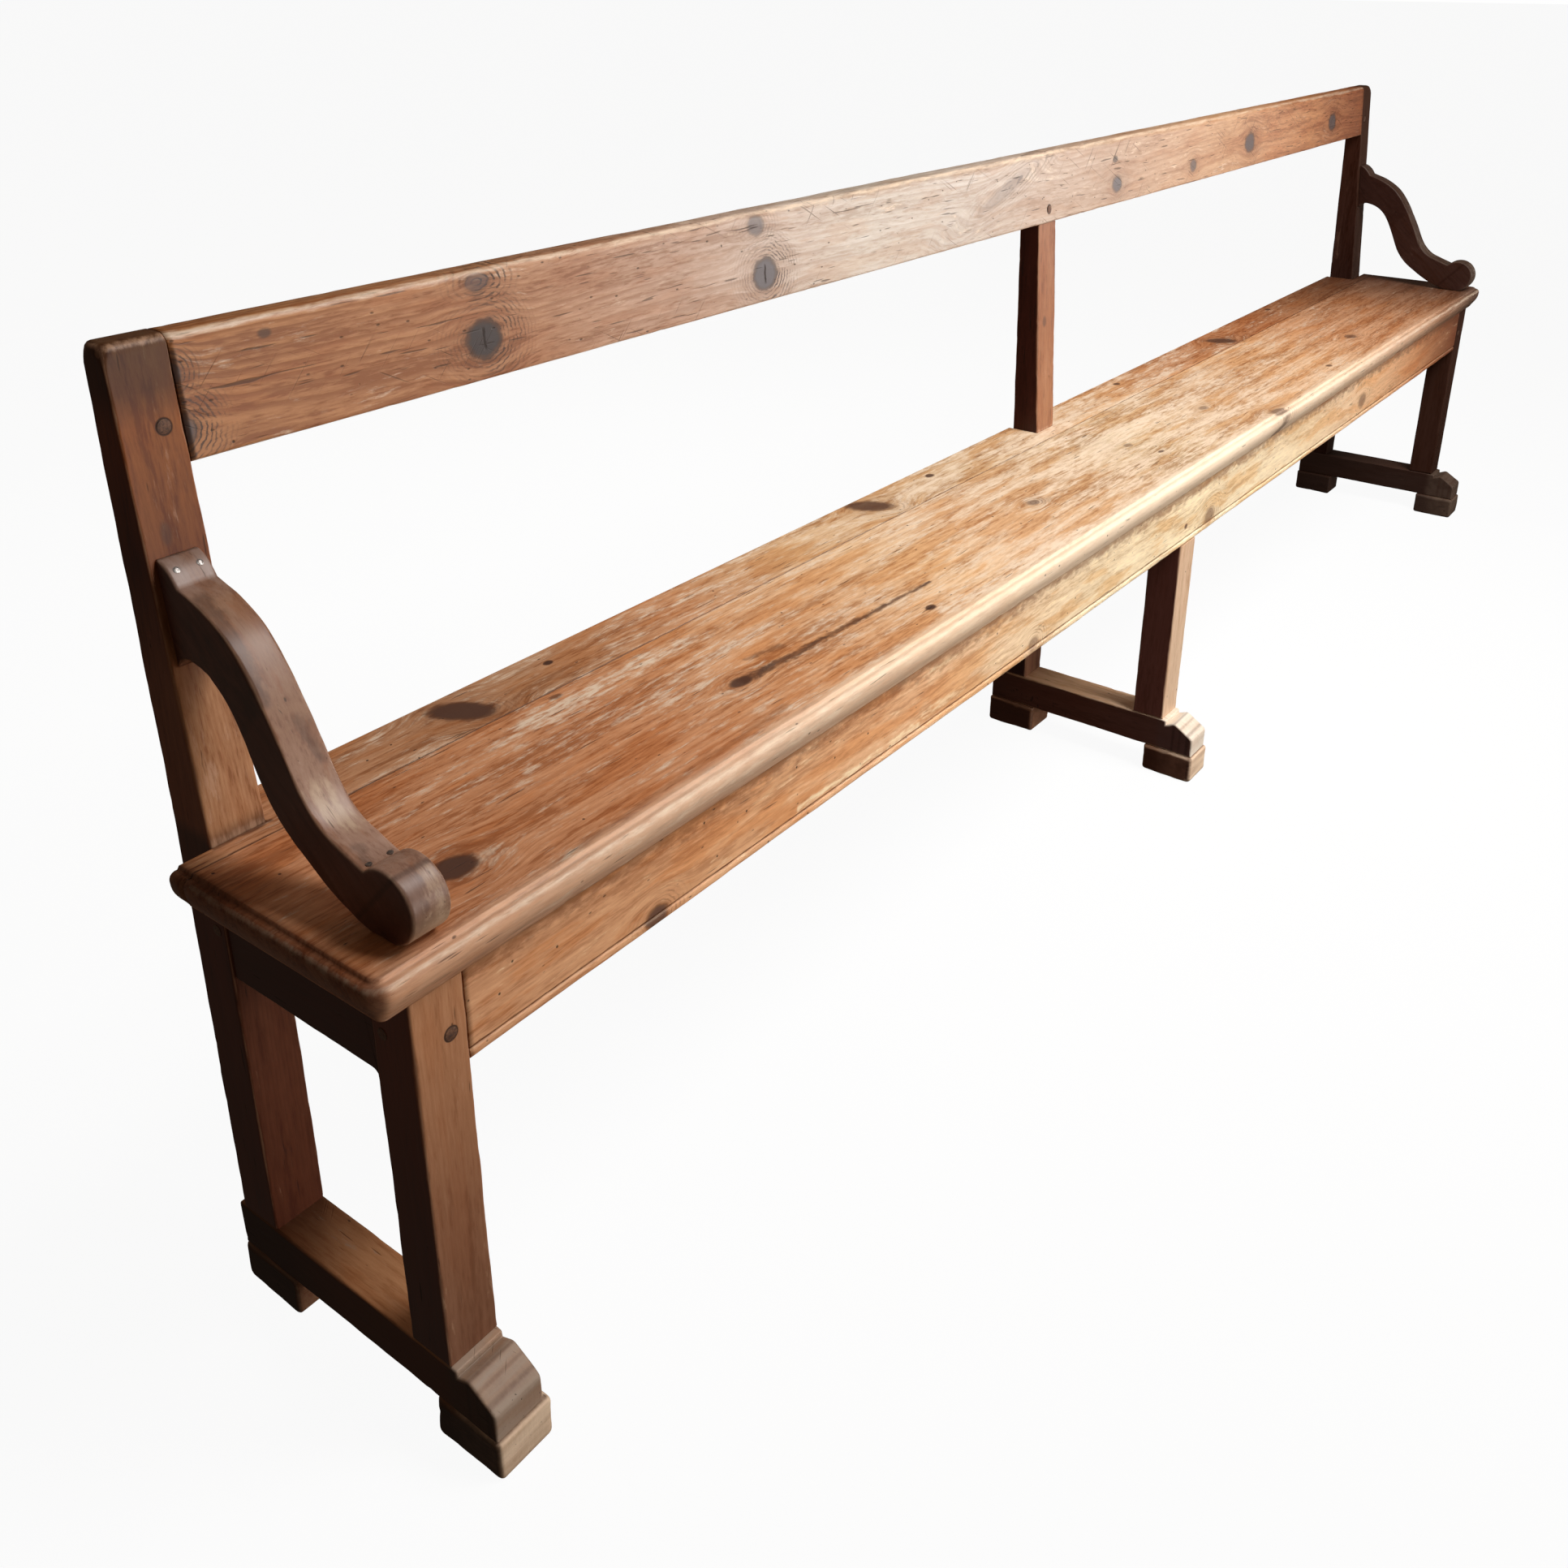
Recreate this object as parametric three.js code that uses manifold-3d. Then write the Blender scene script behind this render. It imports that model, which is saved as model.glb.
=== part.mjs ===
// Monks bench: a long pine seat on three sledge-footed frames, with a back rail and two scroll arms.
// Millimetres, +Z up, +X along the bench, -Y towards the sitter's knees.
// The origin lies on the floor under the middle of the bench's overall box.
// Inside this file y = 0 is the front face of the front legs, and the last lines centre the bench.

import * as THREE from 'three';
import { mergeVertices } from 'three/addons/utils/BufferGeometryUtils.js';
import Module from 'manifold-3d';

const wasm = await Module();
wasm.setup();

// Overall sizes
const SEAT_HEIGHT = 460;
const BACK_HEIGHT = 834.5;
const FRAME_SPAN = 2680;
const FRAME_DEPTH = 262;
const MIDDLE_FRAME_OFFSET = -20;

// Fit of mating pieces: the air beside a tenon or peg, and between faces that meet
const FIT = 0.3;
const OVERRUN = 6;

// Legs and back posts. TIMBER is their thickness along the bench.
const TIMBER = 48;
const FRONT_LEG_DEPTH = 44;
const POST_DEPTH = 45.5;
const POST_TOP_DEPTH = 26;
const POST_REAR_LEAN = 12;
const STILE_SETBACK = 8;
const STILE_REVEAL = 2;
const LEFT_POST_TOP_WEAR = 4;
const RIGHT_POST_TOP_WEAR = 12;

// Sledge feet: a rail with a moulded toe on two pads
const PAD_HEIGHT = 38;
const PAD_LENGTH = 72;
const PAD_OUTER_PROUD = 1.5;
const PAD_INNER_PROUD = 6;
const PAD_TOE_PROUD = 3.5;
const PAD_HEEL_PROUD = 1;
const PAD_EDGE_ROUND = 5;
const FOOT_RAIL_HEIGHT = 45.5;
const TOE_REACH = 46.5;
const HEEL_REACH = 7.5;

// Seat and its moulded edge
const SEAT_THICKNESS = 37;
const SEAT_END_OVERHANG = 35.4;
const SEAT_FRONT_OVERHANG = 14;
const SEAT_REAR_OVERHANG = 6;
const SEAT_JOINT_FROM_FRONT_LEG = 198.5;
const SEAT_BOARD_GAP = 0.6;
const SEAT_CORNER_ROUND = 18;
const NOSE_UNDERCUT = 12;

// Rails under the seat
const APRON_HEIGHT = 79;
const APRON_THICKNESS = 22;
const APRON_BEAD = 8.6;
const APRON_QUIRK_WIDTH = 2.2;
const APRON_QUIRK_DEPTH = 3;
const REAR_APRON_REVEAL = 3;
const BEARER_HEIGHT = 81.5;
const BEARER_THICKNESS = 32;
const BEARER_REVEAL = 2;
const BEARER_CORNER_ROUND = 9.5;
const BEARER_CORNER_LIP = 1.5;

// Back rail, and the worn top that it shares with the posts
const TOP_RAIL_HEIGHT = 91;
const TOP_RAIL_THICKNESS = 25.5;
const TOP_FRONT_ROUND = 9.5;
const TOP_REAR_ROUND = 6;

// Scroll arms
const ARM_THICKNESS = 33;
const ARM_REVEAL = 6;
const ARM_RISE = 224;
const ARM_FRONT_OVERHANG = 8;
const SCROLL_RADIUS = 28.5;
const SCROLL_SINK = 0.8;

// Tenons
const FOOT_TENON_LENGTH = 26;
const FOOT_TENON_THICKNESS = 16;
const FOOT_TENON_SHOULDER = 12;
const BEARER_TENON_THICKNESS = 14;
const BEARER_TENON_SHOULDER = 10;
const BEARER_TENON_WALL = 5.2;
const HOUSED_BEARER_WALL = 6.5;
const APRON_TENON_LENGTH = 32;
const APRON_TENON_THICKNESS = 9;
const APRON_TENON_SHOULDER = 9;
const TOP_RAIL_TENON_LENGTH = 34;
const TOP_RAIL_TENON_THICKNESS = 10;
const TOP_RAIL_TENON_SHOULDER = 13;
const STILE_TENON_HEIGHT = 34;
const STILE_TENON_SHOULDER = 8;
const ARM_TENON_LENGTH = 20;
const ARM_TENON_THICKNESS = 14;
const ARM_TENON_HEIGHT = 36;
const ARM_TENON_BELOW_TOP = 16;
const ARM_STUB_LENGTH = 26;
const ARM_STUB_DEPTH = 12;

// Pegs and nails: radius at the head, radius at the tip, length in the wood and how proud the head stands
const RAIL_PEG = { head: 5.4, tip: 4.6, length: 20, proud: 0.8, finish: 'pegWood' };
const BEARER_PEG = { head: 5, tip: 4.4, length: 38, proud: 0.6, finish: 'pegWood' };
const SHOULDER_NAIL = { head: 2.6, tip: 1.2, length: 30, proud: 0.5, finish: 'nailSteel' };
const FOOT_NAIL = { head: 2.6, tip: 1.2, length: 68, proud: 0.5, finish: 'nailSteel' };
const PEG_INSET = 15;
const APRON_PEG_RISE = 33;
const TOP_RAIL_PEG_RISE = 29;
const ARM_NAIL_SPREAD = 9;

// Heights and places that follow from the sizes above
const FOOT_TOP = PAD_HEIGHT + FOOT_RAIL_HEIGHT;
const SEAT_UNDERSIDE = SEAT_HEIGHT - SEAT_THICKNESS;
const APRON_BOTTOM = SEAT_UNDERSIDE - APRON_HEIGHT;
const BEARER_BOTTOM = SEAT_UNDERSIDE - BEARER_HEIGHT;
const TOP_RAIL_BOTTOM = BACK_HEIGHT - TOP_RAIL_HEIGHT;
const POST_FRONT = FRAME_DEPTH - POST_DEPTH;
const POST_TOP_FRONT = FRAME_DEPTH + POST_REAR_LEAN - POST_TOP_DEPTH;
const RAIL_REAR = FRAME_DEPTH + HEEL_REACH;
const HALF_SPAN = FRAME_SPAN / 2;
const HALF_SEAT = HALF_SPAN + SEAT_END_OVERHANG;
const SEAT_FRONT = -SEAT_FRONT_OVERHANG;
const SEAT_REAR = FRAME_DEPTH + SEAT_REAR_OVERHANG;
const ARM_FRONT = -ARM_FRONT_OVERHANG;

// Fineness of the curves
const CURVE_STEPS = 10;
const CORNER_STEPS = 6;
const PIN_SIDES = 12;

const FINISHES = {
  honeyPine: { color: 0xb98558, roughness: 0.55 },
  railPine: { color: 0x9a6c4c, roughness: 0.55 },
  umberPine: { color: 0x5b3b2a, roughness: 0.48 },
  footPine: { color: 0x4f3629, roughness: 0.62 },
  pegWood: { color: 0x6b4a33, roughness: 0.6 },
  nailSteel: { color: 0x8f8a84, roughness: 0.42, metalness: 0.9 },
};

// Closed geometry to solid and back

function solidOf(geometry) {
  const bare = geometry.clone();
  bare.deleteAttribute('normal');
  bare.deleteAttribute('uv');
  const merged = mergeVertices(bare);
  const vertProperties = new Float32Array(merged.getAttribute('position').array);
  const triVerts = new Uint32Array(merged.getIndex().array);
  return new wasm.Manifold(new wasm.Mesh({ numProp: 3, vertProperties, triVerts }));
}

function geometryOf(solid) {
  const mesh = solid.getMesh();
  const geometry = new THREE.BufferGeometry();
  geometry.setAttribute('position', new THREE.BufferAttribute(mesh.vertProperties, 3));
  geometry.setIndex(new THREE.BufferAttribute(mesh.triVerts, 1));
  geometry.computeVertexNormals();
  return geometry;
}

const join = (first, ...others) => others.reduce((all, other) => all.add(other), first);
const cut = (blank, ...cutters) => cutters.reduce((left, cutter) => left.subtract(cutter), blank);

// Elementary forms. A span is a pair of ends, [low, high], on one axis.

function bar({ x, y, z }) {
  const box = new THREE.BoxGeometry(x[1] - x[0], y[1] - y[0], z[1] - z[0]);
  box.translate((x[0] + x[1]) / 2, (y[0] + y[1]) / 2, (z[0] + z[1]) / 2);
  return solidOf(box);
}

const grown = ([low, high], by) => [low - by, high + by];

// The hole that a tenon's box fits, with air all round it
function mortise({ x, y, z }) {
  return bar({ x: grown(x, FIT), y: grown(y, FIT), z: grown(z, FIT) });
}

const ALONG_X = new THREE.Vector3(1, 0, 0);
const ALONG_Y = new THREE.Vector3(0, 1, 0);
const ALONG_Z = new THREE.Vector3(0, 0, 1);

// An outline of a given depth, its own x, y and depth turned onto the three directions named
function extruded(outline, depth, directions) {
  const geometry = new THREE.ExtrudeGeometry(outline, {
    depth,
    bevelEnabled: false,
    curveSegments: CURVE_STEPS,
  });
  geometry.applyMatrix4(new THREE.Matrix4().makeBasis(...directions));
  return geometry;
}

// An outline drawn in (y, z), carried along the bench over a span of x
function carriedAlongX(outline, x) {
  const geometry = extruded(outline, x[1] - x[0], [ALONG_Y, ALONG_Z, ALONG_X]);
  geometry.translate(x[0], 0, 0);
  return solidOf(geometry);
}

// An outline drawn in (x, z), carried through the bench over a span of y from its rear end
function carriedAlongY(outline, y) {
  const geometry = extruded(outline, y[1] - y[0], [ALONG_X, ALONG_Z, ALONG_Y.clone().negate()]);
  geometry.translate(0, y[1], 0);
  return solidOf(geometry);
}

function outlineThrough(points) {
  return new THREE.Shape(points.map(([y, z]) => new THREE.Vector2(y, z)));
}

const centred = (middle, width) => [middle - width / 2, middle + width / 2];
const middleOf = ([low, high]) => (low + high) / 2;

// The three frames stand at these spans of x. side is -1 or 1 at the ends and 0 in the middle.
const FRAMES = [
  { name: 'left', side: -1, x: [-HALF_SPAN, -HALF_SPAN + TIMBER] },
  { name: 'middle', side: 0, x: centred(MIDDLE_FRAME_OFFSET, TIMBER) },
  { name: 'right', side: 1, x: [HALF_SPAN - TIMBER, HALF_SPAN] },
];
const [LEFT_FRAME, MIDDLE_FRAME, RIGHT_FRAME] = FRAMES;
const END_FRAMES = [LEFT_FRAME, RIGHT_FRAME];

// The span of a piece of the given thickness, set back from a frame's outer face, or centred in it
function setInFrame(frame, thickness, reveal) {
  if (frame.side < 0) return [frame.x[0] + reveal, frame.x[0] + reveal + thickness];
  if (frame.side > 0) return [frame.x[1] - reveal - thickness, frame.x[1] - reveal];
  return centred(middleOf(frame.x), thickness);
}

// A tenon at a rail's end, growing out of an end frame's inner face into the frame
function spanIntoFrame(frame, length) {
  if (frame.side < 0) return [frame.x[1] - length, frame.x[1] + OVERRUN];
  return [frame.x[0] - OVERRUN, frame.x[0] + length];
}

// The post's front face rakes back above the seat, and its rear face leans a little
function postFrontAt(z) {
  const share = Math.max(0, (z - SEAT_HEIGHT) / (BACK_HEIGHT - SEAT_HEIGHT));
  return POST_FRONT + share * (POST_TOP_FRONT - POST_FRONT);
}

function postRearAt(z) {
  const share = Math.max(0, (z - SEAT_HEIGHT) / (BACK_HEIGHT - SEAT_HEIGHT));
  return FRAME_DEPTH + share * POST_REAR_LEAN;
}

// Tenon boxes. Each is used twice: once to add the tenon, once to cut its mortise.

function frontFootTenon(frame) {
  return {
    x: centred(middleOf(frame.x), FOOT_TENON_THICKNESS),
    y: [FOOT_TENON_SHOULDER, FRONT_LEG_DEPTH - FOOT_TENON_SHOULDER],
    z: [FOOT_TOP - FOOT_TENON_LENGTH, FOOT_TOP + OVERRUN],
  };
}

function rearFootTenon(frame) {
  return {
    x: centred(middleOf(frame.x), FOOT_TENON_THICKNESS),
    y: [POST_FRONT + FOOT_TENON_SHOULDER, FRAME_DEPTH - FOOT_TENON_SHOULDER],
    z: [FOOT_TOP - FOOT_TENON_LENGTH, FOOT_TOP + OVERRUN],
  };
}

const FRONT_APRON_Y = [0, APRON_THICKNESS];
const REAR_APRON_Y = [FRAME_DEPTH - REAR_APRON_REVEAL - APRON_THICKNESS, FRAME_DEPTH - REAR_APRON_REVEAL];

// In an end frame a bearer's tenon stops short of the apron's tenon, with a wall of wood between them
const CLEAR_OF_APRON_TENON = APRON_TENON_THICKNESS / 2 + BEARER_TENON_WALL;
const BEARER_FRONT_TENON = FRONT_LEG_DEPTH - middleOf(FRONT_APRON_Y) - CLEAR_OF_APRON_TENON;
const BEARER_REAR_TENON = middleOf(REAR_APRON_Y) - POST_FRONT - CLEAR_OF_APRON_TENON;

// The middle frame is notched round both aprons, so there a bearer's tenon stops short of the notch
const HOUSED_FRONT_TENON = FRONT_LEG_DEPTH - FRONT_APRON_Y[1] - HOUSED_BEARER_WALL;
const HOUSED_REAR_TENON = REAR_APRON_Y[0] - POST_FRONT - HOUSED_BEARER_WALL;

function bearerSpan(frame) {
  return setInFrame(frame, BEARER_THICKNESS, BEARER_REVEAL);
}

function bearerTenon(frame, y) {
  return {
    x: centred(middleOf(bearerSpan(frame)), BEARER_TENON_THICKNESS),
    y,
    z: [BEARER_BOTTOM + BEARER_TENON_SHOULDER, SEAT_UNDERSIDE - BEARER_TENON_SHOULDER],
  };
}

function bearerFrontTenon(frame) {
  const length = frame.side === 0 ? HOUSED_FRONT_TENON : BEARER_FRONT_TENON;
  return bearerTenon(frame, [FRONT_LEG_DEPTH - length, FRONT_LEG_DEPTH + OVERRUN]);
}

function bearerRearTenon(frame) {
  const length = frame.side === 0 ? HOUSED_REAR_TENON : BEARER_REAR_TENON;
  return bearerTenon(frame, [POST_FRONT - OVERRUN, POST_FRONT + length]);
}

function apronTenon(frame, apronY) {
  return {
    x: spanIntoFrame(frame, APRON_TENON_LENGTH),
    y: centred(middleOf(apronY), APRON_TENON_THICKNESS),
    z: [APRON_BOTTOM + APRON_BEAD + APRON_TENON_SHOULDER, SEAT_UNDERSIDE - APRON_TENON_SHOULDER],
  };
}

// The tenons stand upright inside the raked rail, halfway up its leaning section
const TOP_RAIL_MIDDLE_Z = TOP_RAIL_BOTTOM + TOP_RAIL_HEIGHT / 2;
const TOP_RAIL_MIDDLE_Y = postFrontAt(TOP_RAIL_MIDDLE_Z) + TOP_RAIL_THICKNESS / 2;

function topRailTenon(frame) {
  return {
    x: spanIntoFrame(frame, TOP_RAIL_TENON_LENGTH),
    y: centred(TOP_RAIL_MIDDLE_Y, TOP_RAIL_TENON_THICKNESS),
    z: [TOP_RAIL_BOTTOM + TOP_RAIL_TENON_SHOULDER, BACK_HEIGHT - TOP_RAIL_TENON_SHOULDER],
  };
}

function stileTenon() {
  return {
    x: grown(MIDDLE_FRAME.x, -STILE_TENON_SHOULDER),
    y: centred(TOP_RAIL_MIDDLE_Y, TOP_RAIL_TENON_THICKNESS),
    z: [TOP_RAIL_BOTTOM - OVERRUN, TOP_RAIL_BOTTOM + STILE_TENON_HEIGHT],
  };
}

function armSpan(frame) {
  return setInFrame(frame, ARM_THICKNESS, ARM_REVEAL);
}

function armTenon(frame) {
  const top = SEAT_HEIGHT + ARM_RISE - ARM_TENON_BELOW_TOP;
  const bottom = top - ARM_TENON_HEIGHT;
  return {
    x: centred(middleOf(armSpan(frame)), ARM_TENON_THICKNESS),
    y: [postFrontAt(bottom) - OVERRUN, postFrontAt(bottom) + ARM_TENON_LENGTH],
    z: [bottom, top],
  };
}

function armStub(frame) {
  return {
    x: centred(middleOf(armSpan(frame)), ARM_TENON_THICKNESS),
    y: centred(ARM_FRONT + SCROLL_RADIUS, ARM_STUB_LENGTH),
    z: [SEAT_HEIGHT - ARM_STUB_DEPTH, SEAT_HEIGHT + OVERRUN],
  };
}

// Frame pieces

// The through-notch at the top of a middle upright, where an apron passes
function apronHousing(y, top) {
  return bar({ x: grown(MIDDLE_FRAME.x, OVERRUN), y, z: [APRON_BOTTOM - FIT, top] });
}

function frontLeg(frame) {
  const leg = bar({
    x: frame.x,
    y: [0, FRONT_LEG_DEPTH],
    z: [FOOT_TOP + FIT, SEAT_UNDERSIDE - FIT],
  });
  const shaped = cut(join(leg, bar(frontFootTenon(frame))), mortise(bearerFrontTenon(frame)));
  if (frame.side !== 0) return cut(shaped, mortise(apronTenon(frame, FRONT_APRON_Y)));
  return cut(shaped, apronHousing([-OVERRUN, APRON_THICKNESS + FIT], SEAT_UNDERSIDE + OVERRUN));
}

// Draws the worn top of a post or of the back rail, from its rear face over to its front face
function drawWornTop(outline, rear) {
  const rearRoundStart = BACK_HEIGHT - TOP_REAR_ROUND;
  const frontRoundStart = BACK_HEIGHT - TOP_FRONT_ROUND;
  outline.lineTo(rear, rearRoundStart);
  outline.quadraticCurveTo(rear, BACK_HEIGHT, rear - TOP_REAR_ROUND, BACK_HEIGHT);
  outline.lineTo(POST_TOP_FRONT + TOP_FRONT_ROUND, BACK_HEIGHT);
  outline.quadraticCurveTo(POST_TOP_FRONT, BACK_HEIGHT, postFrontAt(frontRoundStart), frontRoundStart);
}

function postOutline() {
  const outline = new THREE.Shape();
  outline.moveTo(POST_FRONT, FOOT_TOP + FIT);
  outline.lineTo(FRAME_DEPTH, FOOT_TOP + FIT);
  outline.lineTo(FRAME_DEPTH, SEAT_HEIGHT);
  drawWornTop(outline, postRearAt(BACK_HEIGHT - TOP_REAR_ROUND));
  outline.lineTo(POST_FRONT, SEAT_HEIGHT);
  outline.closePath();
  return outline;
}

// What wear has taken off an end post's outer top corner, outside a curve drawn in (x, z)
function topWear(frame) {
  const wear = frame.side < 0 ? LEFT_POST_TOP_WEAR : RIGHT_POST_TOP_WEAR;
  const outer = frame.side < 0 ? frame.x[0] : frame.x[1];
  const outline = new THREE.Shape();
  outline.moveTo(outer, BACK_HEIGHT - wear);
  outline.quadraticCurveTo(outer, BACK_HEIGHT, outer - frame.side * wear, BACK_HEIGHT);
  outline.lineTo(outer - frame.side * wear, BACK_HEIGHT + OVERRUN);
  outline.lineTo(outer + frame.side * OVERRUN, BACK_HEIGHT + OVERRUN);
  outline.lineTo(outer + frame.side * OVERRUN, BACK_HEIGHT - wear);
  outline.closePath();
  return carriedAlongY(outline, [POST_FRONT - OVERRUN, FRAME_DEPTH + POST_REAR_LEAN + OVERRUN]);
}

function endPost(frame) {
  const post = join(carriedAlongX(postOutline(), frame.x), bar(rearFootTenon(frame)));
  return cut(
    post,
    topWear(frame),
    mortise(bearerRearTenon(frame)),
    mortise(apronTenon(frame, REAR_APRON_Y)),
    mortise(topRailTenon(frame)),
    mortise(armTenon(frame)),
  );
}

// The middle post is stepped back at the seat board, and stops in a tenon under the back rail
function middlePost() {
  const stileTop = TOP_RAIL_BOTTOM - FIT;
  const outline = outlineThrough([
    [POST_FRONT, FOOT_TOP + FIT],
    [FRAME_DEPTH, FOOT_TOP + FIT],
    [FRAME_DEPTH, SEAT_HEIGHT],
    [postRearAt(stileTop), stileTop],
    [postFrontAt(stileTop) + STILE_REVEAL, stileTop],
    [POST_FRONT + STILE_SETBACK, SEAT_HEIGHT],
    [POST_FRONT + STILE_SETBACK, SEAT_UNDERSIDE - FIT],
    [POST_FRONT, SEAT_UNDERSIDE - FIT],
  ]);
  const post = join(
    carriedAlongX(outline, MIDDLE_FRAME.x),
    bar(rearFootTenon(MIDDLE_FRAME)),
    bar(stileTenon()),
  );
  const housing = apronHousing([REAR_APRON_Y[0] - FIT, FRAME_DEPTH + OVERRUN], SEAT_UNDERSIDE - FIT);
  return cut(post, mortise(bearerRearTenon(MIDDLE_FRAME)), housing);
}

// The toe: a small ledge in front of the leg, a step down, a low hump, then a slope to the upright nose.
// Each point is a share of the toe's reach and a share of the rail's height.
const TOE_LEDGE_SHARES = [[0, 1], [0.12, 0.985], [0.13, 0.86]];
const TOE_HUMP_SHARES = [[0.24, 0.905], [0.35, 0.955], [0.44, 0.95], [0.53, 0.895]];
const TOE_NOSE_SHARES = [[0.93, 0.64], [0.985, 0.59], [1, 0.51]];

function toePoint([reachShare, heightShare]) {
  return new THREE.Vector2(-reachShare * TOE_REACH, PAD_HEIGHT + heightShare * FOOT_RAIL_HEIGHT);
}

function footRail(frame) {
  const outline = new THREE.Shape();
  outline.moveTo(-TOE_REACH, PAD_HEIGHT + FIT);
  outline.lineTo(RAIL_REAR, PAD_HEIGHT + FIT);
  outline.lineTo(RAIL_REAR, FOOT_TOP);
  for (const share of TOE_LEDGE_SHARES) {
    const corner = toePoint(share);
    outline.lineTo(corner.x, corner.y);
  }
  outline.splineThru(TOE_HUMP_SHARES.map(toePoint));
  const slopeFoot = toePoint(TOE_NOSE_SHARES[0]);
  outline.lineTo(slopeFoot.x, slopeFoot.y);
  outline.splineThru(TOE_NOSE_SHARES.slice(1).map(toePoint));
  outline.closePath();
  const rail = carriedAlongX(outline, frame.x);
  return cut(rail, mortise(frontFootTenon(frame)), mortise(rearFootTenon(frame)));
}

// A pad stands further out of an end frame's inner face than of its outer face
function padSpan(frame) {
  if (frame.side < 0) return [frame.x[0] - PAD_OUTER_PROUD, frame.x[1] + PAD_INNER_PROUD];
  if (frame.side > 0) return [frame.x[0] - PAD_INNER_PROUD, frame.x[1] + PAD_OUTER_PROUD];
  return grown(frame.x, (PAD_OUTER_PROUD + PAD_INNER_PROUD) / 2);
}

// A pad is a block with eased lower edges at its toe and heel
function footPad(frame, y) {
  const outline = new THREE.Shape();
  outline.moveTo(y[0] + PAD_EDGE_ROUND, 0);
  outline.lineTo(y[1] - PAD_EDGE_ROUND, 0);
  outline.quadraticCurveTo(y[1], 0, y[1], PAD_EDGE_ROUND);
  outline.lineTo(y[1], PAD_HEIGHT);
  outline.lineTo(y[0], PAD_HEIGHT);
  outline.lineTo(y[0], PAD_EDGE_ROUND);
  outline.quadraticCurveTo(y[0], 0, y[0] + PAD_EDGE_ROUND, 0);
  return carriedAlongX(outline, padSpan(frame));
}

const PAD_FRONT = -TOE_REACH - PAD_TOE_PROUD;
const PAD_REAR = RAIL_REAR + PAD_HEEL_PROUD;
const FRONT_PAD_Y = [PAD_FRONT, PAD_FRONT + PAD_LENGTH];
const REAR_PAD_Y = [PAD_REAR - PAD_LENGTH, PAD_REAR];

// A bearer joins leg to post under the seat. Its lower edge swells down into the leg with a cove.
function bearer(frame) {
  const front = FRONT_LEG_DEPTH + FIT;
  const rear = POST_FRONT - FIT;
  const lip = BEARER_BOTTOM - BEARER_CORNER_ROUND;
  const outline = new THREE.Shape();
  outline.moveTo(front, lip);
  outline.lineTo(front + BEARER_CORNER_LIP, lip);
  outline.quadraticCurveTo(
    front + BEARER_CORNER_LIP,
    BEARER_BOTTOM,
    front + BEARER_CORNER_LIP + BEARER_CORNER_ROUND,
    BEARER_BOTTOM,
  );
  outline.lineTo(rear, BEARER_BOTTOM);
  outline.lineTo(rear, SEAT_UNDERSIDE - FIT);
  outline.lineTo(front, SEAT_UNDERSIDE - FIT);
  outline.closePath();
  const rail = carriedAlongX(outline, bearerSpan(frame));
  return join(rail, bar(bearerFrontTenon(frame)), bar(bearerRearTenon(frame)));
}

// Long rails

// The span between the two end frames, short of them by the fit
const BETWEEN_ENDS = grown([LEFT_FRAME.x[1], RIGHT_FRAME.x[0]], -FIT);

// The front apron's lower edge has a bead, set off by a quirk
function frontApron() {
  const beadRadius = APRON_BEAD / 2;
  const beadTop = APRON_BOTTOM + APRON_BEAD;
  const outline = new THREE.Shape();
  outline.moveTo(APRON_THICKNESS, APRON_BOTTOM);
  outline.lineTo(APRON_THICKNESS, SEAT_UNDERSIDE - FIT);
  outline.lineTo(0, SEAT_UNDERSIDE - FIT);
  outline.lineTo(0, beadTop + APRON_QUIRK_WIDTH);
  outline.lineTo(APRON_QUIRK_DEPTH, beadTop + APRON_QUIRK_WIDTH / 2);
  outline.lineTo(beadRadius, beadTop);
  outline.absarc(beadRadius, APRON_BOTTOM + beadRadius, beadRadius, Math.PI / 2, Math.PI * 1.5, false);
  outline.closePath();
  const tenons = END_FRAMES.map((frame) => bar(apronTenon(frame, FRONT_APRON_Y)));
  return join(carriedAlongX(outline, BETWEEN_ENDS), ...tenons);
}

function rearApron() {
  const board = bar({
    x: BETWEEN_ENDS,
    y: REAR_APRON_Y,
    z: [APRON_BOTTOM, SEAT_UNDERSIDE - 2 * FIT],
  });
  return join(board, ...END_FRAMES.map((frame) => bar(apronTenon(frame, REAR_APRON_Y))));
}

// The back rail leans with the posts, and its top edges are worn round
function topRail() {
  const low = postFrontAt(TOP_RAIL_BOTTOM);
  const outline = new THREE.Shape();
  outline.moveTo(low, TOP_RAIL_BOTTOM);
  outline.lineTo(low + TOP_RAIL_THICKNESS, TOP_RAIL_BOTTOM);
  drawWornTop(outline, POST_TOP_FRONT + TOP_RAIL_THICKNESS);
  outline.closePath();
  const rail = carriedAlongX(outline, BETWEEN_ENDS);
  return cut(join(rail, ...END_FRAMES.map((frame) => bar(topRailTenon(frame)))), mortise(stileTenon()));
}

// Seat boards, lofted up through the levels of their moulded edge

// The moulded edge, from its lower arris up to the top of the board: an undercut ogee, a rounded
// bead and a small quirk. Each point is a share of the undercut standing in, and of the thickness.
const NOSE_SHARES = [
  [1, 0], [0.975, 0.03], [0.78, 0.13], [0.57, 0.227], [0.36, 0.33], [0.19, 0.432], [0.08, 0.535],
  [0.025, 0.63], [0, 0.75], [0.02, 0.805], [0.09, 0.86], [0.23, 0.9], [0.41, 0.922], [0.58, 0.912],
  [0.75, 1],
];

// Each level is how far the edge stands in from its widest line, and its height over the underside
function nosingLevels() {
  return NOSE_SHARES.map(([inShare, heightShare]) => (
    new THREE.Vector2(inShare * NOSE_UNDERCUT, heightShare * SEAT_THICKNESS)
  ));
}

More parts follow.
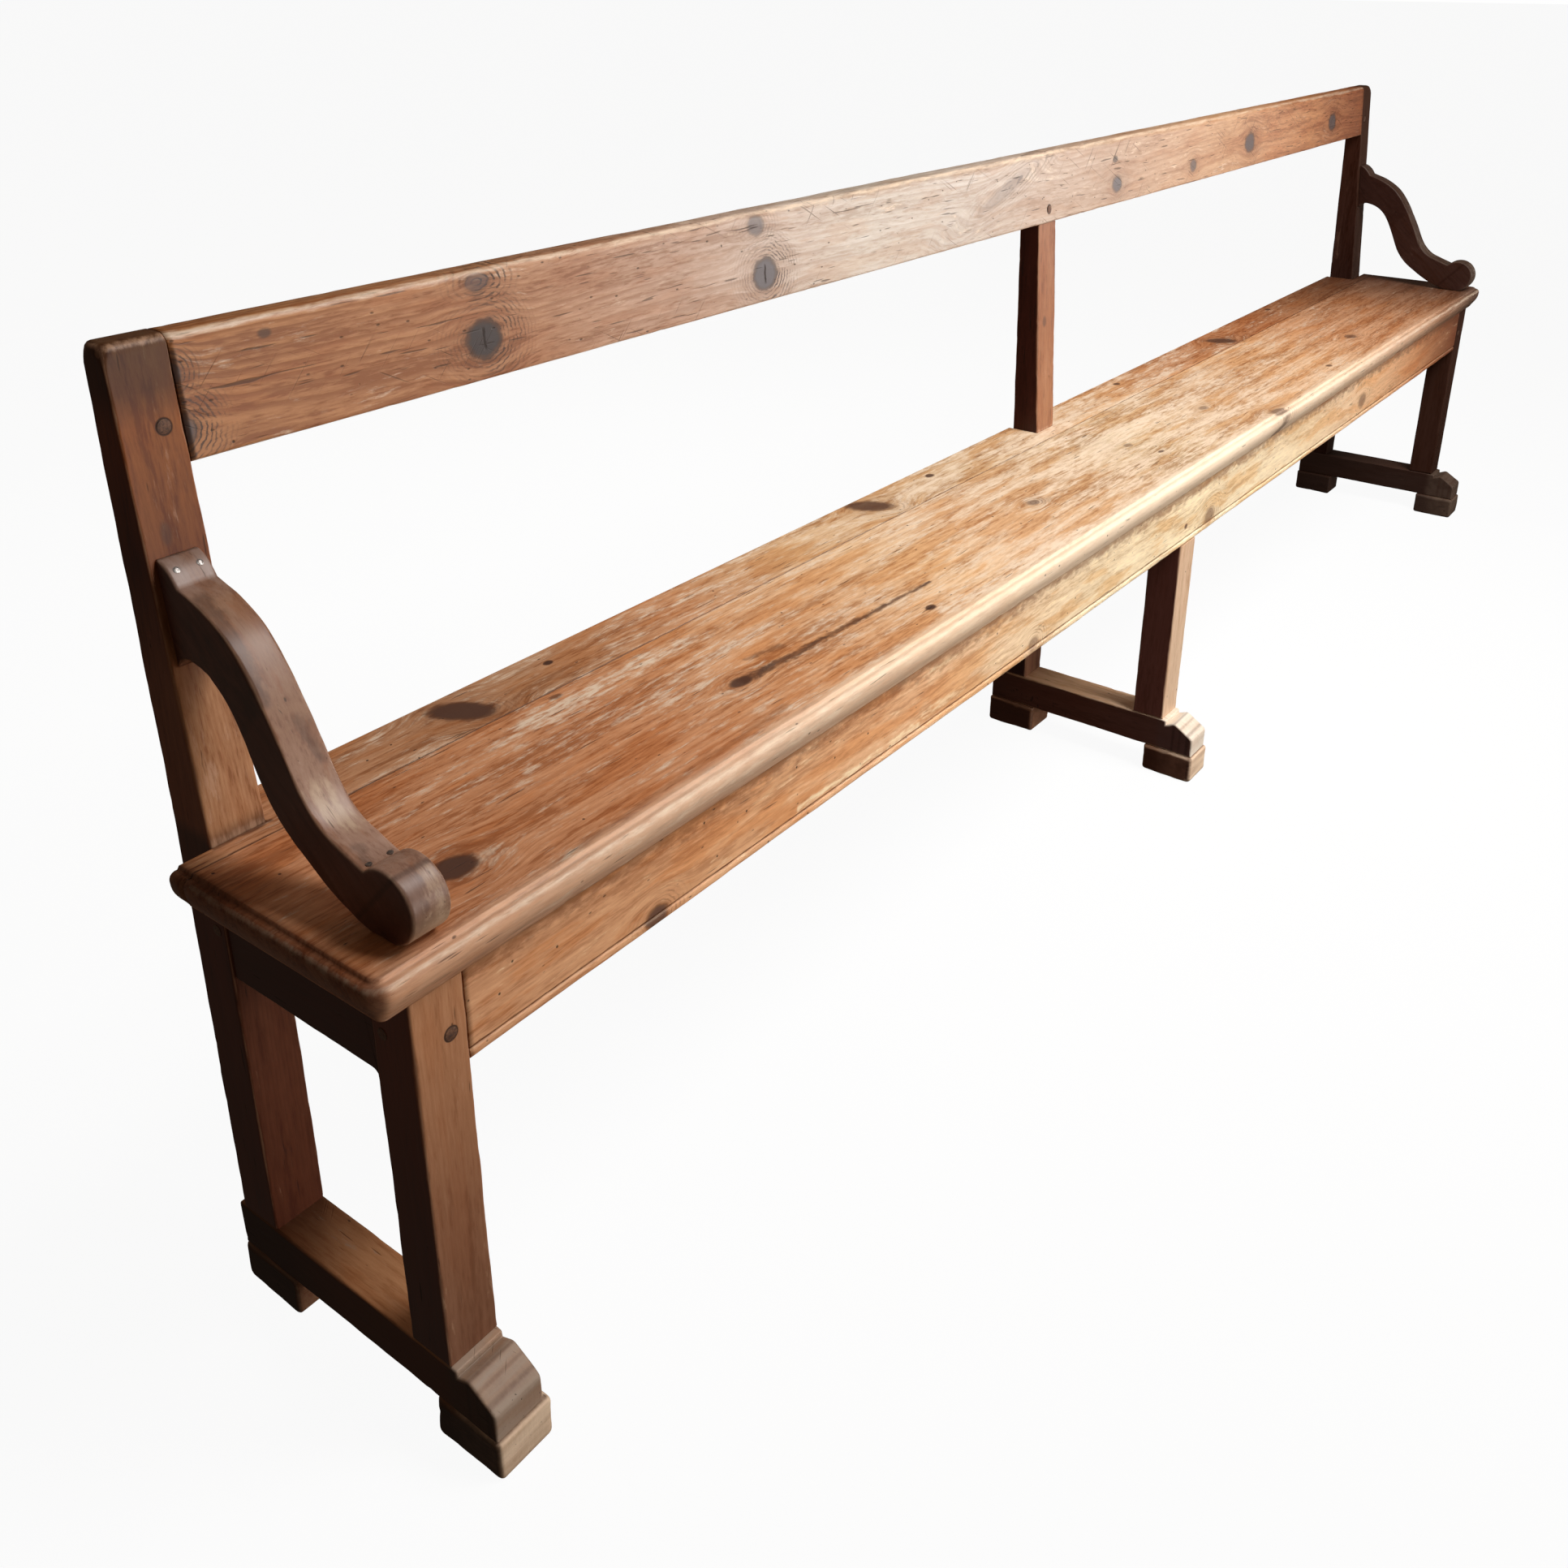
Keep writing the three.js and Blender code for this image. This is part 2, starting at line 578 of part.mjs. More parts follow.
// Front board: rear corners square at the joint, front corners rounded
function frontBoardRing(inset) {
  const side = HALF_SEAT - inset;
  const front = SEAT_FRONT + inset;
  const rear = SEAT_JOINT_FROM_FRONT_LEG - SEAT_BOARD_GAP / 2;
  const radius = SEAT_CORNER_ROUND - inset;
  const ring = [new THREE.Vector2(side, rear), new THREE.Vector2(-side, rear)];
  const corners = [[-side + radius, Math.PI], [side - radius, Math.PI * 1.5]];
  for (const [centreX, start] of corners) {
    for (let step = 0; step <= CORNER_STEPS; step += 1) {
      const angle = start + (Math.PI / 2) * (step / CORNER_STEPS);
      const x = centreX + radius * Math.cos(angle);
      ring.push(new THREE.Vector2(x, front + radius + radius * Math.sin(angle)));
    }
  }
  return ring;
}

// Rear board: only its ends are moulded
function rearBoardRing(inset) {
  const side = HALF_SEAT - inset;
  const front = SEAT_JOINT_FROM_FRONT_LEG + SEAT_BOARD_GAP / 2;
  return [
    new THREE.Vector2(side, SEAT_REAR),
    new THREE.Vector2(-side, SEAT_REAR),
    new THREE.Vector2(-side, front),
    new THREE.Vector2(side, front),
  ];
}

// Joins rings of equal length into a closed skin, with a flat cap at each end
function lofted(ringAt, levels) {
  const rings = levels.map((level) => ringAt(level.x));
  const count = rings[0].length;
  const positions = [];
  rings.forEach((ring, row) => {
    for (const point of ring) positions.push(point.x, point.y, SEAT_UNDERSIDE + levels[row].y);
  });
  const faces = [];
  for (let row = 0; row + 1 < rings.length; row += 1) {
    for (let i = 0; i < count; i += 1) {
      const here = row * count + i;
      const next = row * count + ((i + 1) % count);
      faces.push(here, next, next + count, here, next + count, here + count);
    }
  }
  const last = (rings.length - 1) * count;
  for (const [a, b, c] of THREE.ShapeUtils.triangulateShape(rings[0], [])) {
    faces.push(a, c, b);
    faces.push(last + a, last + b, last + c);
  }
  const geometry = new THREE.BufferGeometry();
  geometry.setAttribute('position', new THREE.Float32BufferAttribute(positions, 3));
  geometry.setIndex(faces);
  return solidOf(geometry);
}

function seatFrontBoard() {
  const board = lofted(frontBoardRing, nosingLevels());
  return cut(board, ...END_FRAMES.map((frame) => mortise(armStub(frame))));
}

// The rear board is notched round the three posts; its moulded ends stop at the posts' front faces
function seatRearBoard() {
  const board = lofted(rearBoardRing, nosingLevels());
  const notchZ = [SEAT_UNDERSIDE - OVERRUN, SEAT_HEIGHT + OVERRUN];
  const notchRear = SEAT_REAR + OVERRUN;
  const beyond = HALF_SEAT + OVERRUN;
  const postNotchY = [POST_FRONT - FIT, notchRear];
  return cut(
    board,
    bar({ x: [-beyond, LEFT_FRAME.x[1] + FIT], y: postNotchY, z: notchZ }),
    bar({ x: [RIGHT_FRAME.x[0] - FIT, beyond], y: postNotchY, z: notchZ }),
    bar({ x: grown(MIDDLE_FRAME.x, FIT), y: [POST_FRONT + STILE_SETBACK - FIT, notchRear], z: notchZ }),
  );
}

// Scroll arms

// The arm's S, as shares of its reach from scroll to post and of its rise over the seat.
// The upper edge runs down from the quirk below the shoulder to the quirk behind the scroll.
const ARM_SHOULDER_SHARE = [0.955, 0.995];
const ARM_UPPER_SHARES = [
  [0.914, 0.925], [0.8, 0.882], [0.69, 0.806], [0.6, 0.683], [0.515, 0.522],
  [0.445, 0.375], [0.37, 0.289], [0.27, 0.242], [0.2, 0.216],
];
const ARM_LOWER_SHARES = [
  [0.2, 0.003], [0.262, 0.022], [0.35, 0.064], [0.45, 0.13], [0.54, 0.2], [0.61, 0.29],
  [0.67, 0.425], [0.72, 0.532], [0.775, 0.613], [0.84, 0.66], [0.906, 0.679],
];
const ARM_HEEL_SHARE = [0.955, 0.68];
const ARM_HEEL_RISE_SHARE = 0.64;

const ARM_REACH = postFrontAt(SEAT_HEIGHT + ARM_RISE) - FIT - ARM_FRONT;

function armPoint([reachShare, riseShare]) {
  return new THREE.Vector2(ARM_FRONT + reachShare * ARM_REACH, SEAT_HEIGHT + FIT + riseShare * ARM_RISE);
}

// The short rounded shoulder between the post and the first quirk
function shoulderCurve() {
  return new THREE.QuadraticBezierCurve(
    armPoint([1, 1]),
    armPoint(ARM_SHOULDER_SHARE),
    armPoint(ARM_UPPER_SHARES[0]),
  );
}

function armOutline() {
  const scrollY = ARM_FRONT + SCROLL_RADIUS;
  const scrollZ = SEAT_HEIGHT + FIT + SCROLL_RADIUS - SCROLL_SINK;
  const shoulder = shoulderCurve();
  const heelZ = SEAT_HEIGHT + FIT + ARM_HEEL_RISE_SHARE * ARM_RISE;
  const heel = armPoint(ARM_HEEL_SHARE);
  const upperEnd = armPoint(ARM_UPPER_SHARES[ARM_UPPER_SHARES.length - 1]);
  const scrollStart = Math.atan2(upperEnd.y - scrollZ, upperEnd.x - scrollY);
  const seatAngle = Math.asin((SCROLL_RADIUS - SCROLL_SINK) / SCROLL_RADIUS);
  const outline = new THREE.Shape();
  outline.moveTo(shoulder.v0.x, shoulder.v0.y);
  outline.quadraticCurveTo(shoulder.v1.x, shoulder.v1.y, shoulder.v2.x, shoulder.v2.y);
  outline.splineThru(ARM_UPPER_SHARES.slice(1).map(armPoint));
  outline.absarc(scrollY, scrollZ, SCROLL_RADIUS, scrollStart, Math.PI + seatAngle, false);
  const firstLower = armPoint(ARM_LOWER_SHARES[0]);
  outline.lineTo(firstLower.x, SEAT_HEIGHT + FIT);
  outline.splineThru(ARM_LOWER_SHARES.slice(1).map(armPoint));
  outline.quadraticCurveTo(heel.x, heel.y, postFrontAt(heelZ) - FIT, heelZ);
  outline.closePath();
  return outline;
}

function armrest(frame) {
  const arm = carriedAlongX(armOutline(), armSpan(frame));
  return join(arm, bar(armTenon(frame)), bar(armStub(frame)));
}

// Pegs and nails

// A whittled pin: a tapered shank and a low domed head, turned about its own +Y axis with the head up
function pinGeometry(pin) {
  const profile = [
    [0, -pin.length],
    [pin.tip, -pin.length],
    [pin.head, 0],
    [pin.head, pin.proud / 2],
    [pin.head / 2, pin.proud],
    [0, pin.proud],
  ];
  return new THREE.LatheGeometry(profile.map(([r, h]) => new THREE.Vector2(r, h)), PIN_SIDES);
}

function holeGeometry(pin) {
  const length = pin.length + FIT + OVERRUN;
  const hole = new THREE.CylinderGeometry(pin.head + FIT, pin.tip + FIT, length, PIN_SIDES);
  hole.translate(0, length / 2 - pin.length - FIT, 0);
  return hole;
}

// Stands a turned form on the surface at a point, with its head facing outward
function driven(geometry, { at, outward }) {
  const turn = new THREE.Quaternion().setFromUnitVectors(new THREE.Vector3(0, 1, 0), outward);
  geometry.applyQuaternion(turn);
  geometry.translate(at.x, at.y, at.z);
  return solidOf(geometry);
}

const FORWARD = ALONG_Y.clone().negate();
const BACKWARD = ALONG_Y;

// The inner edge of an end frame, moved into the frame by an inset
function insideEdge(frame, inset) {
  return frame.side < 0 ? frame.x[1] - inset : frame.x[0] + inset;
}

function endJointPegs(frame) {
  const railZ = TOP_RAIL_BOTTOM + TOP_RAIL_PEG_RISE;
  const apronZ = APRON_BOTTOM + APRON_PEG_RISE;
  const x = insideEdge(frame, PEG_INSET);
  return [
    {
      name: `${frame.name}_top_rail_peg`,
      pin: RAIL_PEG,
      at: new THREE.Vector3(x, postFrontAt(railZ), railZ),
      outward: FORWARD,
      through: [`${frame.name}_back_post`, 'back_top_rail'],
    },
    {
      name: `${frame.name}_front_apron_peg`,
      pin: RAIL_PEG,
      at: new THREE.Vector3(x, 0, apronZ),
      outward: FORWARD,
      through: [`${frame.name}_front_leg`, 'front_apron'],
    },
    {
      name: `${frame.name}_rear_apron_peg`,
      pin: RAIL_PEG,
      at: new THREE.Vector3(x, FRAME_DEPTH, apronZ),
      outward: BACKWARD,
      through: [`${frame.name}_back_post`, 'rear_apron'],
    },
  ];
}

function stilePeg() {
  const z = TOP_RAIL_BOTTOM + STILE_TENON_HEIGHT / 2;
  return {
    name: 'middle_top_rail_peg',
    pin: RAIL_PEG,
    at: new THREE.Vector3(MIDDLE_FRAME_OFFSET, postFrontAt(z), z),
    outward: FORWARD,
    through: ['back_top_rail', 'middle_back_post'],
  };
}

// Pegs through an end bearer's joints, driven from the frame's outer face
function bearerPegs(frame) {
  const x = frame.side < 0 ? frame.x[0] : frame.x[1];
  const z = BEARER_BOTTOM + BEARER_HEIGHT / 2;
  const places = [
    ['front', FRONT_LEG_DEPTH - BEARER_FRONT_TENON / 2, 'front_leg'],
    ['rear', POST_FRONT + BEARER_REAR_TENON / 2, 'back_post'],
  ];
  return places.map(([end, y, upright]) => ({
    name: `${frame.name}_${end}_bearer_peg`,
    pin: BEARER_PEG,
    at: new THREE.Vector3(x, y, z),
    outward: new THREE.Vector3(frame.side, 0, 0),
    through: [`${frame.name}_${upright}`, `${frame.name}_seat_bearer`],
  }));
}

// Two nails hold the arm's shoulder to the post, and two its foot to the seat
const SHOULDER_NAIL_SHARE = 0.6;
const FOOT_NAIL_SHARE = 0.97;

function armNails(frame) {
  const x = middleOf(armSpan(frame));
  const shoulder = shoulderCurve();
  const onShoulder = shoulder.getPoint(SHOULDER_NAIL_SHARE);
  const slope = shoulder.getTangent(SHOULDER_NAIL_SHARE);
  const onFoot = new THREE.SplineCurve(ARM_UPPER_SHARES.map(armPoint)).getPoint(FOOT_NAIL_SHARE);
  const rows = [
    {
      place: 'shoulder',
      pin: SHOULDER_NAIL,
      point: onShoulder,
      outward: new THREE.Vector3(0, slope.y, -slope.x),
      other: `${frame.name}_back_post`,
    },
    {
      place: 'foot',
      pin: FOOT_NAIL,
      point: onFoot,
      outward: new THREE.Vector3(0, 0, 1),
      other: 'seat_front_board',
    },
  ];
  const sides = [['outer', frame.side], ['inner', -frame.side]];
  return rows.flatMap(({ place, pin, point, outward, other }) => sides.map(([hand, direction]) => ({
    name: `${frame.name}_arm_${place}_nail_${hand}`,
    pin,
    at: new THREE.Vector3(x + direction * ARM_NAIL_SPREAD, point.x, point.y),
    outward,
    through: [`${frame.name}_armrest`, other],
  })));
}

// Assembly

const pieces = new Map();
const add = (name, finish, solid) => pieces.set(name, { finish, solid });

for (const frame of FRAMES) {
  const post = frame.side === 0 ? middlePost() : endPost(frame);
  add(`${frame.name}_back_post`, 'umberPine', post);
  add(`${frame.name}_front_leg`, 'umberPine', frontLeg(frame));
  add(`${frame.name}_foot_rail`, 'footPine', footRail(frame));
  add(`${frame.name}_front_foot_pad`, 'footPine', footPad(frame, FRONT_PAD_Y));
  add(`${frame.name}_rear_foot_pad`, 'footPine', footPad(frame, REAR_PAD_Y));
  add(`${frame.name}_seat_bearer`, 'umberPine', bearer(frame));
}
for (const frame of END_FRAMES) {
  add(`${frame.name}_armrest`, 'umberPine', armrest(frame));
}
add('seat_front_board', 'honeyPine', seatFrontBoard());
add('seat_rear_board', 'honeyPine', seatRearBoard());
add('front_apron', 'honeyPine', frontApron());
add('rear_apron', 'railPine', rearApron());
add('back_top_rail', 'railPine', topRail());

const pins = [
  ...END_FRAMES.flatMap(endJointPegs),
  stilePeg(),
  ...END_FRAMES.flatMap(bearerPegs),
  ...END_FRAMES.flatMap(armNails),
];
for (const fixing of pins) {
  const hole = driven(holeGeometry(fixing.pin), fixing);
  for (const name of fixing.through) {
    const piece = pieces.get(name);
    piece.solid = cut(piece.solid, hole);
  }
  add(fixing.name, fixing.pin.finish, driven(pinGeometry(fixing.pin), fixing));
}

const bench = new THREE.Group();
bench.name = 'monks_bench';
for (const [name, { finish, solid }] of pieces) {
  const material = new THREE.MeshStandardMaterial({ metalness: 0, ...FINISHES[finish] });
  const mesh = new THREE.Mesh(geometryOf(solid), material);
  mesh.name = name;
  bench.add(mesh);
}

// Centre the overall box, which runs from the toe pads to the rear of the posts' tops
const extent = new THREE.Box3().setFromObject(bench);
bench.position.y = -(extent.min.y + extent.max.y) / 2;

export default bench;
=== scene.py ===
"""The looks of an old pine monks bench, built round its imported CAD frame.

Every timber is worked out with numpy as a closed skin over rows of points, with its arrises eased by wear,
and is dressed by one recipe for sawn pine that reads the object's own coordinates. Sizes are millimetres in
the bench's drawing frame: x along the bench, y from the front face of the legs and z from the floor. Knots
and other marks are placed in the part's own frame, whose y starts under the middle of the bench.
"""

import logging
import math
from dataclasses import dataclass, replace
from enum import Enum
from typing import Any, Callable, ClassVar, Mapping, Optional, Sequence, Union

import bpy
import numpy as np
from mathutils import Matrix, Vector


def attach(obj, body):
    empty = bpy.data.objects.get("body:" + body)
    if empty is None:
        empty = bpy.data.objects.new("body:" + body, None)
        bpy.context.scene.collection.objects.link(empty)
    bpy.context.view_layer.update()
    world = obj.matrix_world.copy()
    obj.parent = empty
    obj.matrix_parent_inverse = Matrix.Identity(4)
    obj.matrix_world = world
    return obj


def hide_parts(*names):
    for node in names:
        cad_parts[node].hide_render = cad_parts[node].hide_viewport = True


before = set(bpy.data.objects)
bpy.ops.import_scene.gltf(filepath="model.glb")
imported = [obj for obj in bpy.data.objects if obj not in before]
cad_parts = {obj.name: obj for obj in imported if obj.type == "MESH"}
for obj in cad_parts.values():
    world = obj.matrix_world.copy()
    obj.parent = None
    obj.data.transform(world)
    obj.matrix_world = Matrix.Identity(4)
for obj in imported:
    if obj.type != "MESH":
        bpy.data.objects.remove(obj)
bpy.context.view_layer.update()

MM = 0.001
log = logging.getLogger("bench")

# Widest spacing of the points round a section, and of the rows along a beam
SECTION_STEP = 6.0
BEAM_STEP = 5.0
# How much of a side the roundings at its two ends may take
SIDE_SHARE = 0.9

Colour = tuple[float, float, float]
Scales = tuple[float, float, float]
Ends = tuple[float, float]
Place = tuple[float, float]


def tone(red: int, green: int, blue: int) -> Colour:
    """A colour given as seen on a screen, 0 to 255, turned into linear light."""
    seen = np.array([red, green, blue]) / 255
    linear = np.where(seen <= 0.04045, seen / 12.92, ((seen + 0.055) / 1.055) ** 2.4)
    return tuple(float(part) for part in linear)


@dataclass(frozen=True)
class Layout:
    """Sizes that several pieces of the bench share."""

    seat_height: float = 460.0
    back_height: float = 834.5
    half_span: float = 1340.0
    depth: float = 262.0
    timber: float = 48.0
    middle_offset: float = -20.0
    leg_depth: float = 44.0
    post_depth: float = 45.5
    post_top_depth: float = 26.0
    post_lean: float = 12.0
    seat_thickness: float = 37.0
    apron_height: float = 79.0
    pad_height: float = 38.0
    foot_rail_height: float = 45.5
    toe_reach: float = 46.5
    heel_reach: float = 7.5
    pad_toe_proud: float = 3.5
    top_rear_round: float = 6.0
    top_front_round: float = 9.5
    rail_height: float = 91.0
    apron_thickness: float = 22.0
    stile_setback: float = 8.0
    sharp: float = 0.4
    fit: float = 0.3

    @property
    def seat_underside(self) -> float:
        """Height of the underside of the seat."""
        return self.seat_height - self.seat_thickness

    @property
    def foot_top(self) -> float:
        """Height of the top of the foot rails."""
        return self.pad_height + self.foot_rail_height

    @property
    def apron_bottom(self) -> float:
        """Height of the aprons' lower edges."""
        return self.seat_underside - self.apron_height

    @property
    def post_front(self) -> float:
        """Front face of the posts below the seat."""
        return self.depth - self.post_depth

    def rake(self, z: float) -> float:
        """How far up the raked stretch of the posts a height is, from 0 at the seat to 1 at the top."""
        return max(0.0, (z - self.seat_height) / (self.back_height - self.seat_height))

    def post_front_at(self, z: float) -> float:
        """Front face of the posts at a height: it rakes back above the seat."""
        top = self.depth + self.post_lean - self.post_top_depth
        return self.post_front + self.rake(z) * (top - self.post_front)

    def post_rear_at(self, z: float) -> float:
        """Rear face of the posts at a height: it leans a little above the seat."""
        return self.depth + self.rake(z) * self.post_lean

    @property
    def shift(self) -> float:
        """What is added to a drawn y to reach the part's frame, which is centred on the overall box."""
        front = -self.toe_reach - self.pad_toe_proud
        rear = self.post_rear_at(self.back_height - self.top_rear_round)
        return -(front + rear) / 2


LAYOUT = Layout()


# Lines and outlines


def wander(along: np.ndarray, seed: int, period: float, layers: int = 4) -> np.ndarray:
    """A smooth random line between about -1 and 1.

    It is a sum of sines. Each layer has a shorter period and a lower height than the last, and a second,
    slower sine bends its phase so that it never repeats.

    Args:
        along: where the line is wanted, in millimetres.
        seed: picks the line.
        period: length of the slowest wave, in millimetres.
        layers: number of sines.

    Returns:
        The line's height at each place.
    """
    period_fall, height_fall = 1.9, 1.5
    phase_bend, bend_period, gain = 1.4, 2.7, 1.6
    rng = np.random.default_rng(seed)
    total = np.zeros_like(along, dtype=float)
    weights = 0.0
    for layer in range(layers):
        length = period / period_fall**layer
        phase, slow = rng.uniform(0, math.tau, 2)
        bend = phase_bend * np.sin(math.tau * along / (length * bend_period) + slow)
        total += np.sin(math.tau * along / length + phase + bend) / height_fall**layer
        weights += 1 / height_fall**layer
    return total / weights * gain


def nicks(along: np.ndarray, seed: int, spacing: float, width: float) -> np.ndarray:
    """Small dents at random places on an arris, each a bell curve.

    A dent's height is the square of a random share, so that few are deep, and its width is random as well.

    Args:
        along: places on the arris, in millimetres.
        seed: picks the dents.
        spacing: average distance between dents.
        width: average half width of a dent.

    Returns:
        The depth of the dents at each place, as a share.
    """
    rng = np.random.default_rng(seed)
    low, high = float(along.min()), float(along.max())
    count = max(1, int((high - low) / spacing))
    centres = rng.uniform(low, high, count)
    heights = rng.uniform(0.1, 1.0, count) ** 2
    widths = width * rng.uniform(0.5, 1.6, count)
    bells = heights * np.exp(-(((along[..., None] - centres) / widths) ** 2))
    return bells.max(axis=-1)


def eased(corners: np.ndarray, setbacks: np.ndarray, steps: int = 5) -> tuple[np.ndarray, np.ndarray]:
    """Rounds every corner of closed outlines.

    A corner P becomes the curve (1 - t)^2 (P + s a) + 2 t (1 - t) P + t^2 (P + s b), where s is its setback
    and a and b are unit vectors to the corners before and after it. Where two setbacks don't fit on a side
    they share most of it. A guard point on each side keeps the flats flat where the surface is shaded
    smooth.

    Args:
        corners: the corners, (..., n, 2).
        setbacks: the setback at each corner, (..., n).
        steps: parts that each curve is cut into.

    Returns:
        The points, (..., n * (steps + 3), 2), and how far into a curve each lies, from 0 to 1.
    """
    wanted = setbacks[..., None]
    turns = (1, -1)
    ways, lengths, free = [], [], []
    for turn in turns:
        side = np.roll(corners, turn, axis=-2) - corners
        length = np.linalg.norm(side, axis=-1, keepdims=True)
        reach = np.roll(wanted, turn, axis=-2)
        room = SIDE_SHARE * length
        free.append(np.maximum(room - reach, room * wanted / (wanted + reach)))
        ways.append((side / length)[..., None, :])
        lengths.append(length)
    setback = np.minimum(wanted, np.minimum(*free))
    middle = corners[..., None, :]
    reach = setback[..., None, :]
    tangents, guards = [], []
    for turn, way, length in zip(turns, ways, lengths):
        spare = (length - setback - np.roll(setback, turn, axis=-2))[..., None, :]
        tangents.append(middle + reach * way)
        guards.append(middle + (reach + np.minimum(0.5 * reach, 0.4 * spare)) * way)
    share = np.linspace(0, 1, steps + 1)[:, None]
    curve = (1 - share) ** 2 * tangents[0] + 2 * share * (1 - share) * middle + share**2 * tangents[1]
    points = np.concatenate([guards[0], curve, guards[1]], axis=-2)
    worn = np.concatenate([[0.0], (4 * share * (1 - share))[:, 0], [0.0]])
    flat = points.reshape(*corners.shape[:-2], -1, 2)
    return flat, np.tile(worn, corners.shape[-2])


def refined(
    outline: np.ndarray, worn: np.ndarray, step: float
) -> tuple[np.ndarray, np.ndarray, np.ndarray]:
    """Adds points to a closed outline, so that no two neighbours lie much further apart than a step.

    Args:
        outline: the points, (n, 2).
        worn: a value at each point.
        step: the widest spacing wanted.

    Returns:
        The points, their values and their distance along the outline.
    """
    closed = np.vstack([outline, outline[:1]])
    values = np.append(worn, worn[0])
    run = np.concatenate([[0.0], np.cumsum(np.linalg.norm(np.diff(closed, axis=0), axis=1))])
    extra = np.arange(step / 2, run[-1], step)
    extra = extra[np.abs(extra[:, None] - run[None, :]).min(axis=1) > 0.2 * step]
    places = np.sort(np.concatenate([run[:-1], extra]))
    places = places[np.append(np.diff(places) > 1e-4, True)]
    points = np.stack([np.interp(places, run, closed[:, axis]) for axis in (0, 1)], axis=-1)
    return points, np.interp(places, run, values), places


def spline(knots: np.ndarray, steps: int) -> np.ndarray:
    """A curve through points: the uniform Catmull-Rom cubic on each span, with the ends repeated.

    Args:
        knots: the points to pass through, (n, 2).
        steps: points on each span.

    Returns:
        The curve's points, without the first knot.
    """
    before = np.vstack([knots[:1], knots[:-2]])
    start, end = knots[:-1], knots[1:]
    after = np.vstack([knots[2:], knots[-1:]])
    leave, arrive = (end - before) / 2, (after - start) / 2
    t = (np.arange(1, steps + 1) / steps)[None, :, None]
    cubic = (2 * start - 2 * end + leave + arrive)[:, None] * t**3
    square = (-3 * start + 3 * end - 2 * leave - arrive)[:, None] * t**2
    return (cubic + square + leave[:, None] * t + start[:, None]).reshape(-1, 2)


def bent(start: np.ndarray, pull: np.ndarray, end: np.ndarray, steps: int) -> np.ndarray:
    """A curve from start to end, drawn towards one point: (1 - t)^2 A + 2 t (1 - t) P + t^2 B."""
    t = np.linspace(0, 1, steps + 1)[:, None]
    return (1 - t) ** 2 * start + 2 * t * (1 - t) * pull + t**2 * end


# Skins


@dataclass
class Skin:
    """A closed surface: rows of points, (rows, around, 3), in millimetres.

    Every point also has its wear and whether it lies on one of the timber's two flanks, where painted shade
    darkens it, both from 0 to 1.
    """

    rows: np.ndarray
    worn: np.ndarray
    shaded_flank: Optional[np.ndarray] = None

    def piece(self, name: str, node: str, slot: str) -> bpy.types.Object:
        """Closes the rows into a mesh that stands for a CAD node, and reports it.

        Neighbouring points of neighbouring rows make the quads, and one flat face closes each end row. The
        enclosed volume is the sum over the triangles of a . (b x c) / 6, and where it is negative every
        face is turned round.

        Args:
            name: the new object's name.
            node: the CAD node that it stands for.
            slot: the name of a material slot; not used.

        Returns:
            The object, riding on the bench's body.
        """
        count, around = self.rows.shape[:2]
        index = np.arange(count * around).reshape(count, around)
        low, high = index[:-1], index[1:]
        quads = np.stack([low, np.roll(low, -1, 1), np.roll(high, -1, 1), high], -1).reshape(-1, 4)
        points = self.rows.reshape(-1, 3)
        ends = [index[0][::-1], index[-1]]
        fans = [np.stack([np.full(around - 2, end[0]), end[1:-1], end[2:]], -1) for end in ends]
        triangles = np.concatenate([quads[:, :3], quads[:, [0, 2, 3]], *fans])
        a, b, c = (points[triangles[:, corner]] for corner in range(3))
        turned = np.einsum("ij,ij->i", a, np.cross(b, c)).sum() < 0
        faces = [*quads.tolist(), *(end.tolist() for end in ends)]
        if turned:
            faces = [face[::-1] for face in faces]
        mesh = bpy.data.meshes.new(name)
        placed = (points + np.array([0.0, LAYOUT.shift, 0.0])) * MM
        mesh.from_pydata(placed.tolist(), [], faces)
        smooth = np.ones(len(faces), bool)
        smooth[-2:] = False
        mesh.polygons.foreach_set("use_smooth", smooth)
        shaded_flank = np.zeros_like(self.worn) if self.shaded_flank is None else self.shaded_flank
        for key, values in (("worn", self.worn), ("shaded_flank", shaded_flank)):
            mesh.attributes.new(key, "FLOAT", "POINT").data.foreach_set("value", values.ravel())
        mesh.update()
        piece = bpy.data.objects.new(name, mesh)
        bpy.context.scene.collection.objects.link(piece)
        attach(piece, "root")
        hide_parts(node)
        log.info("%s: %d faces", name, len(faces))
        return piece


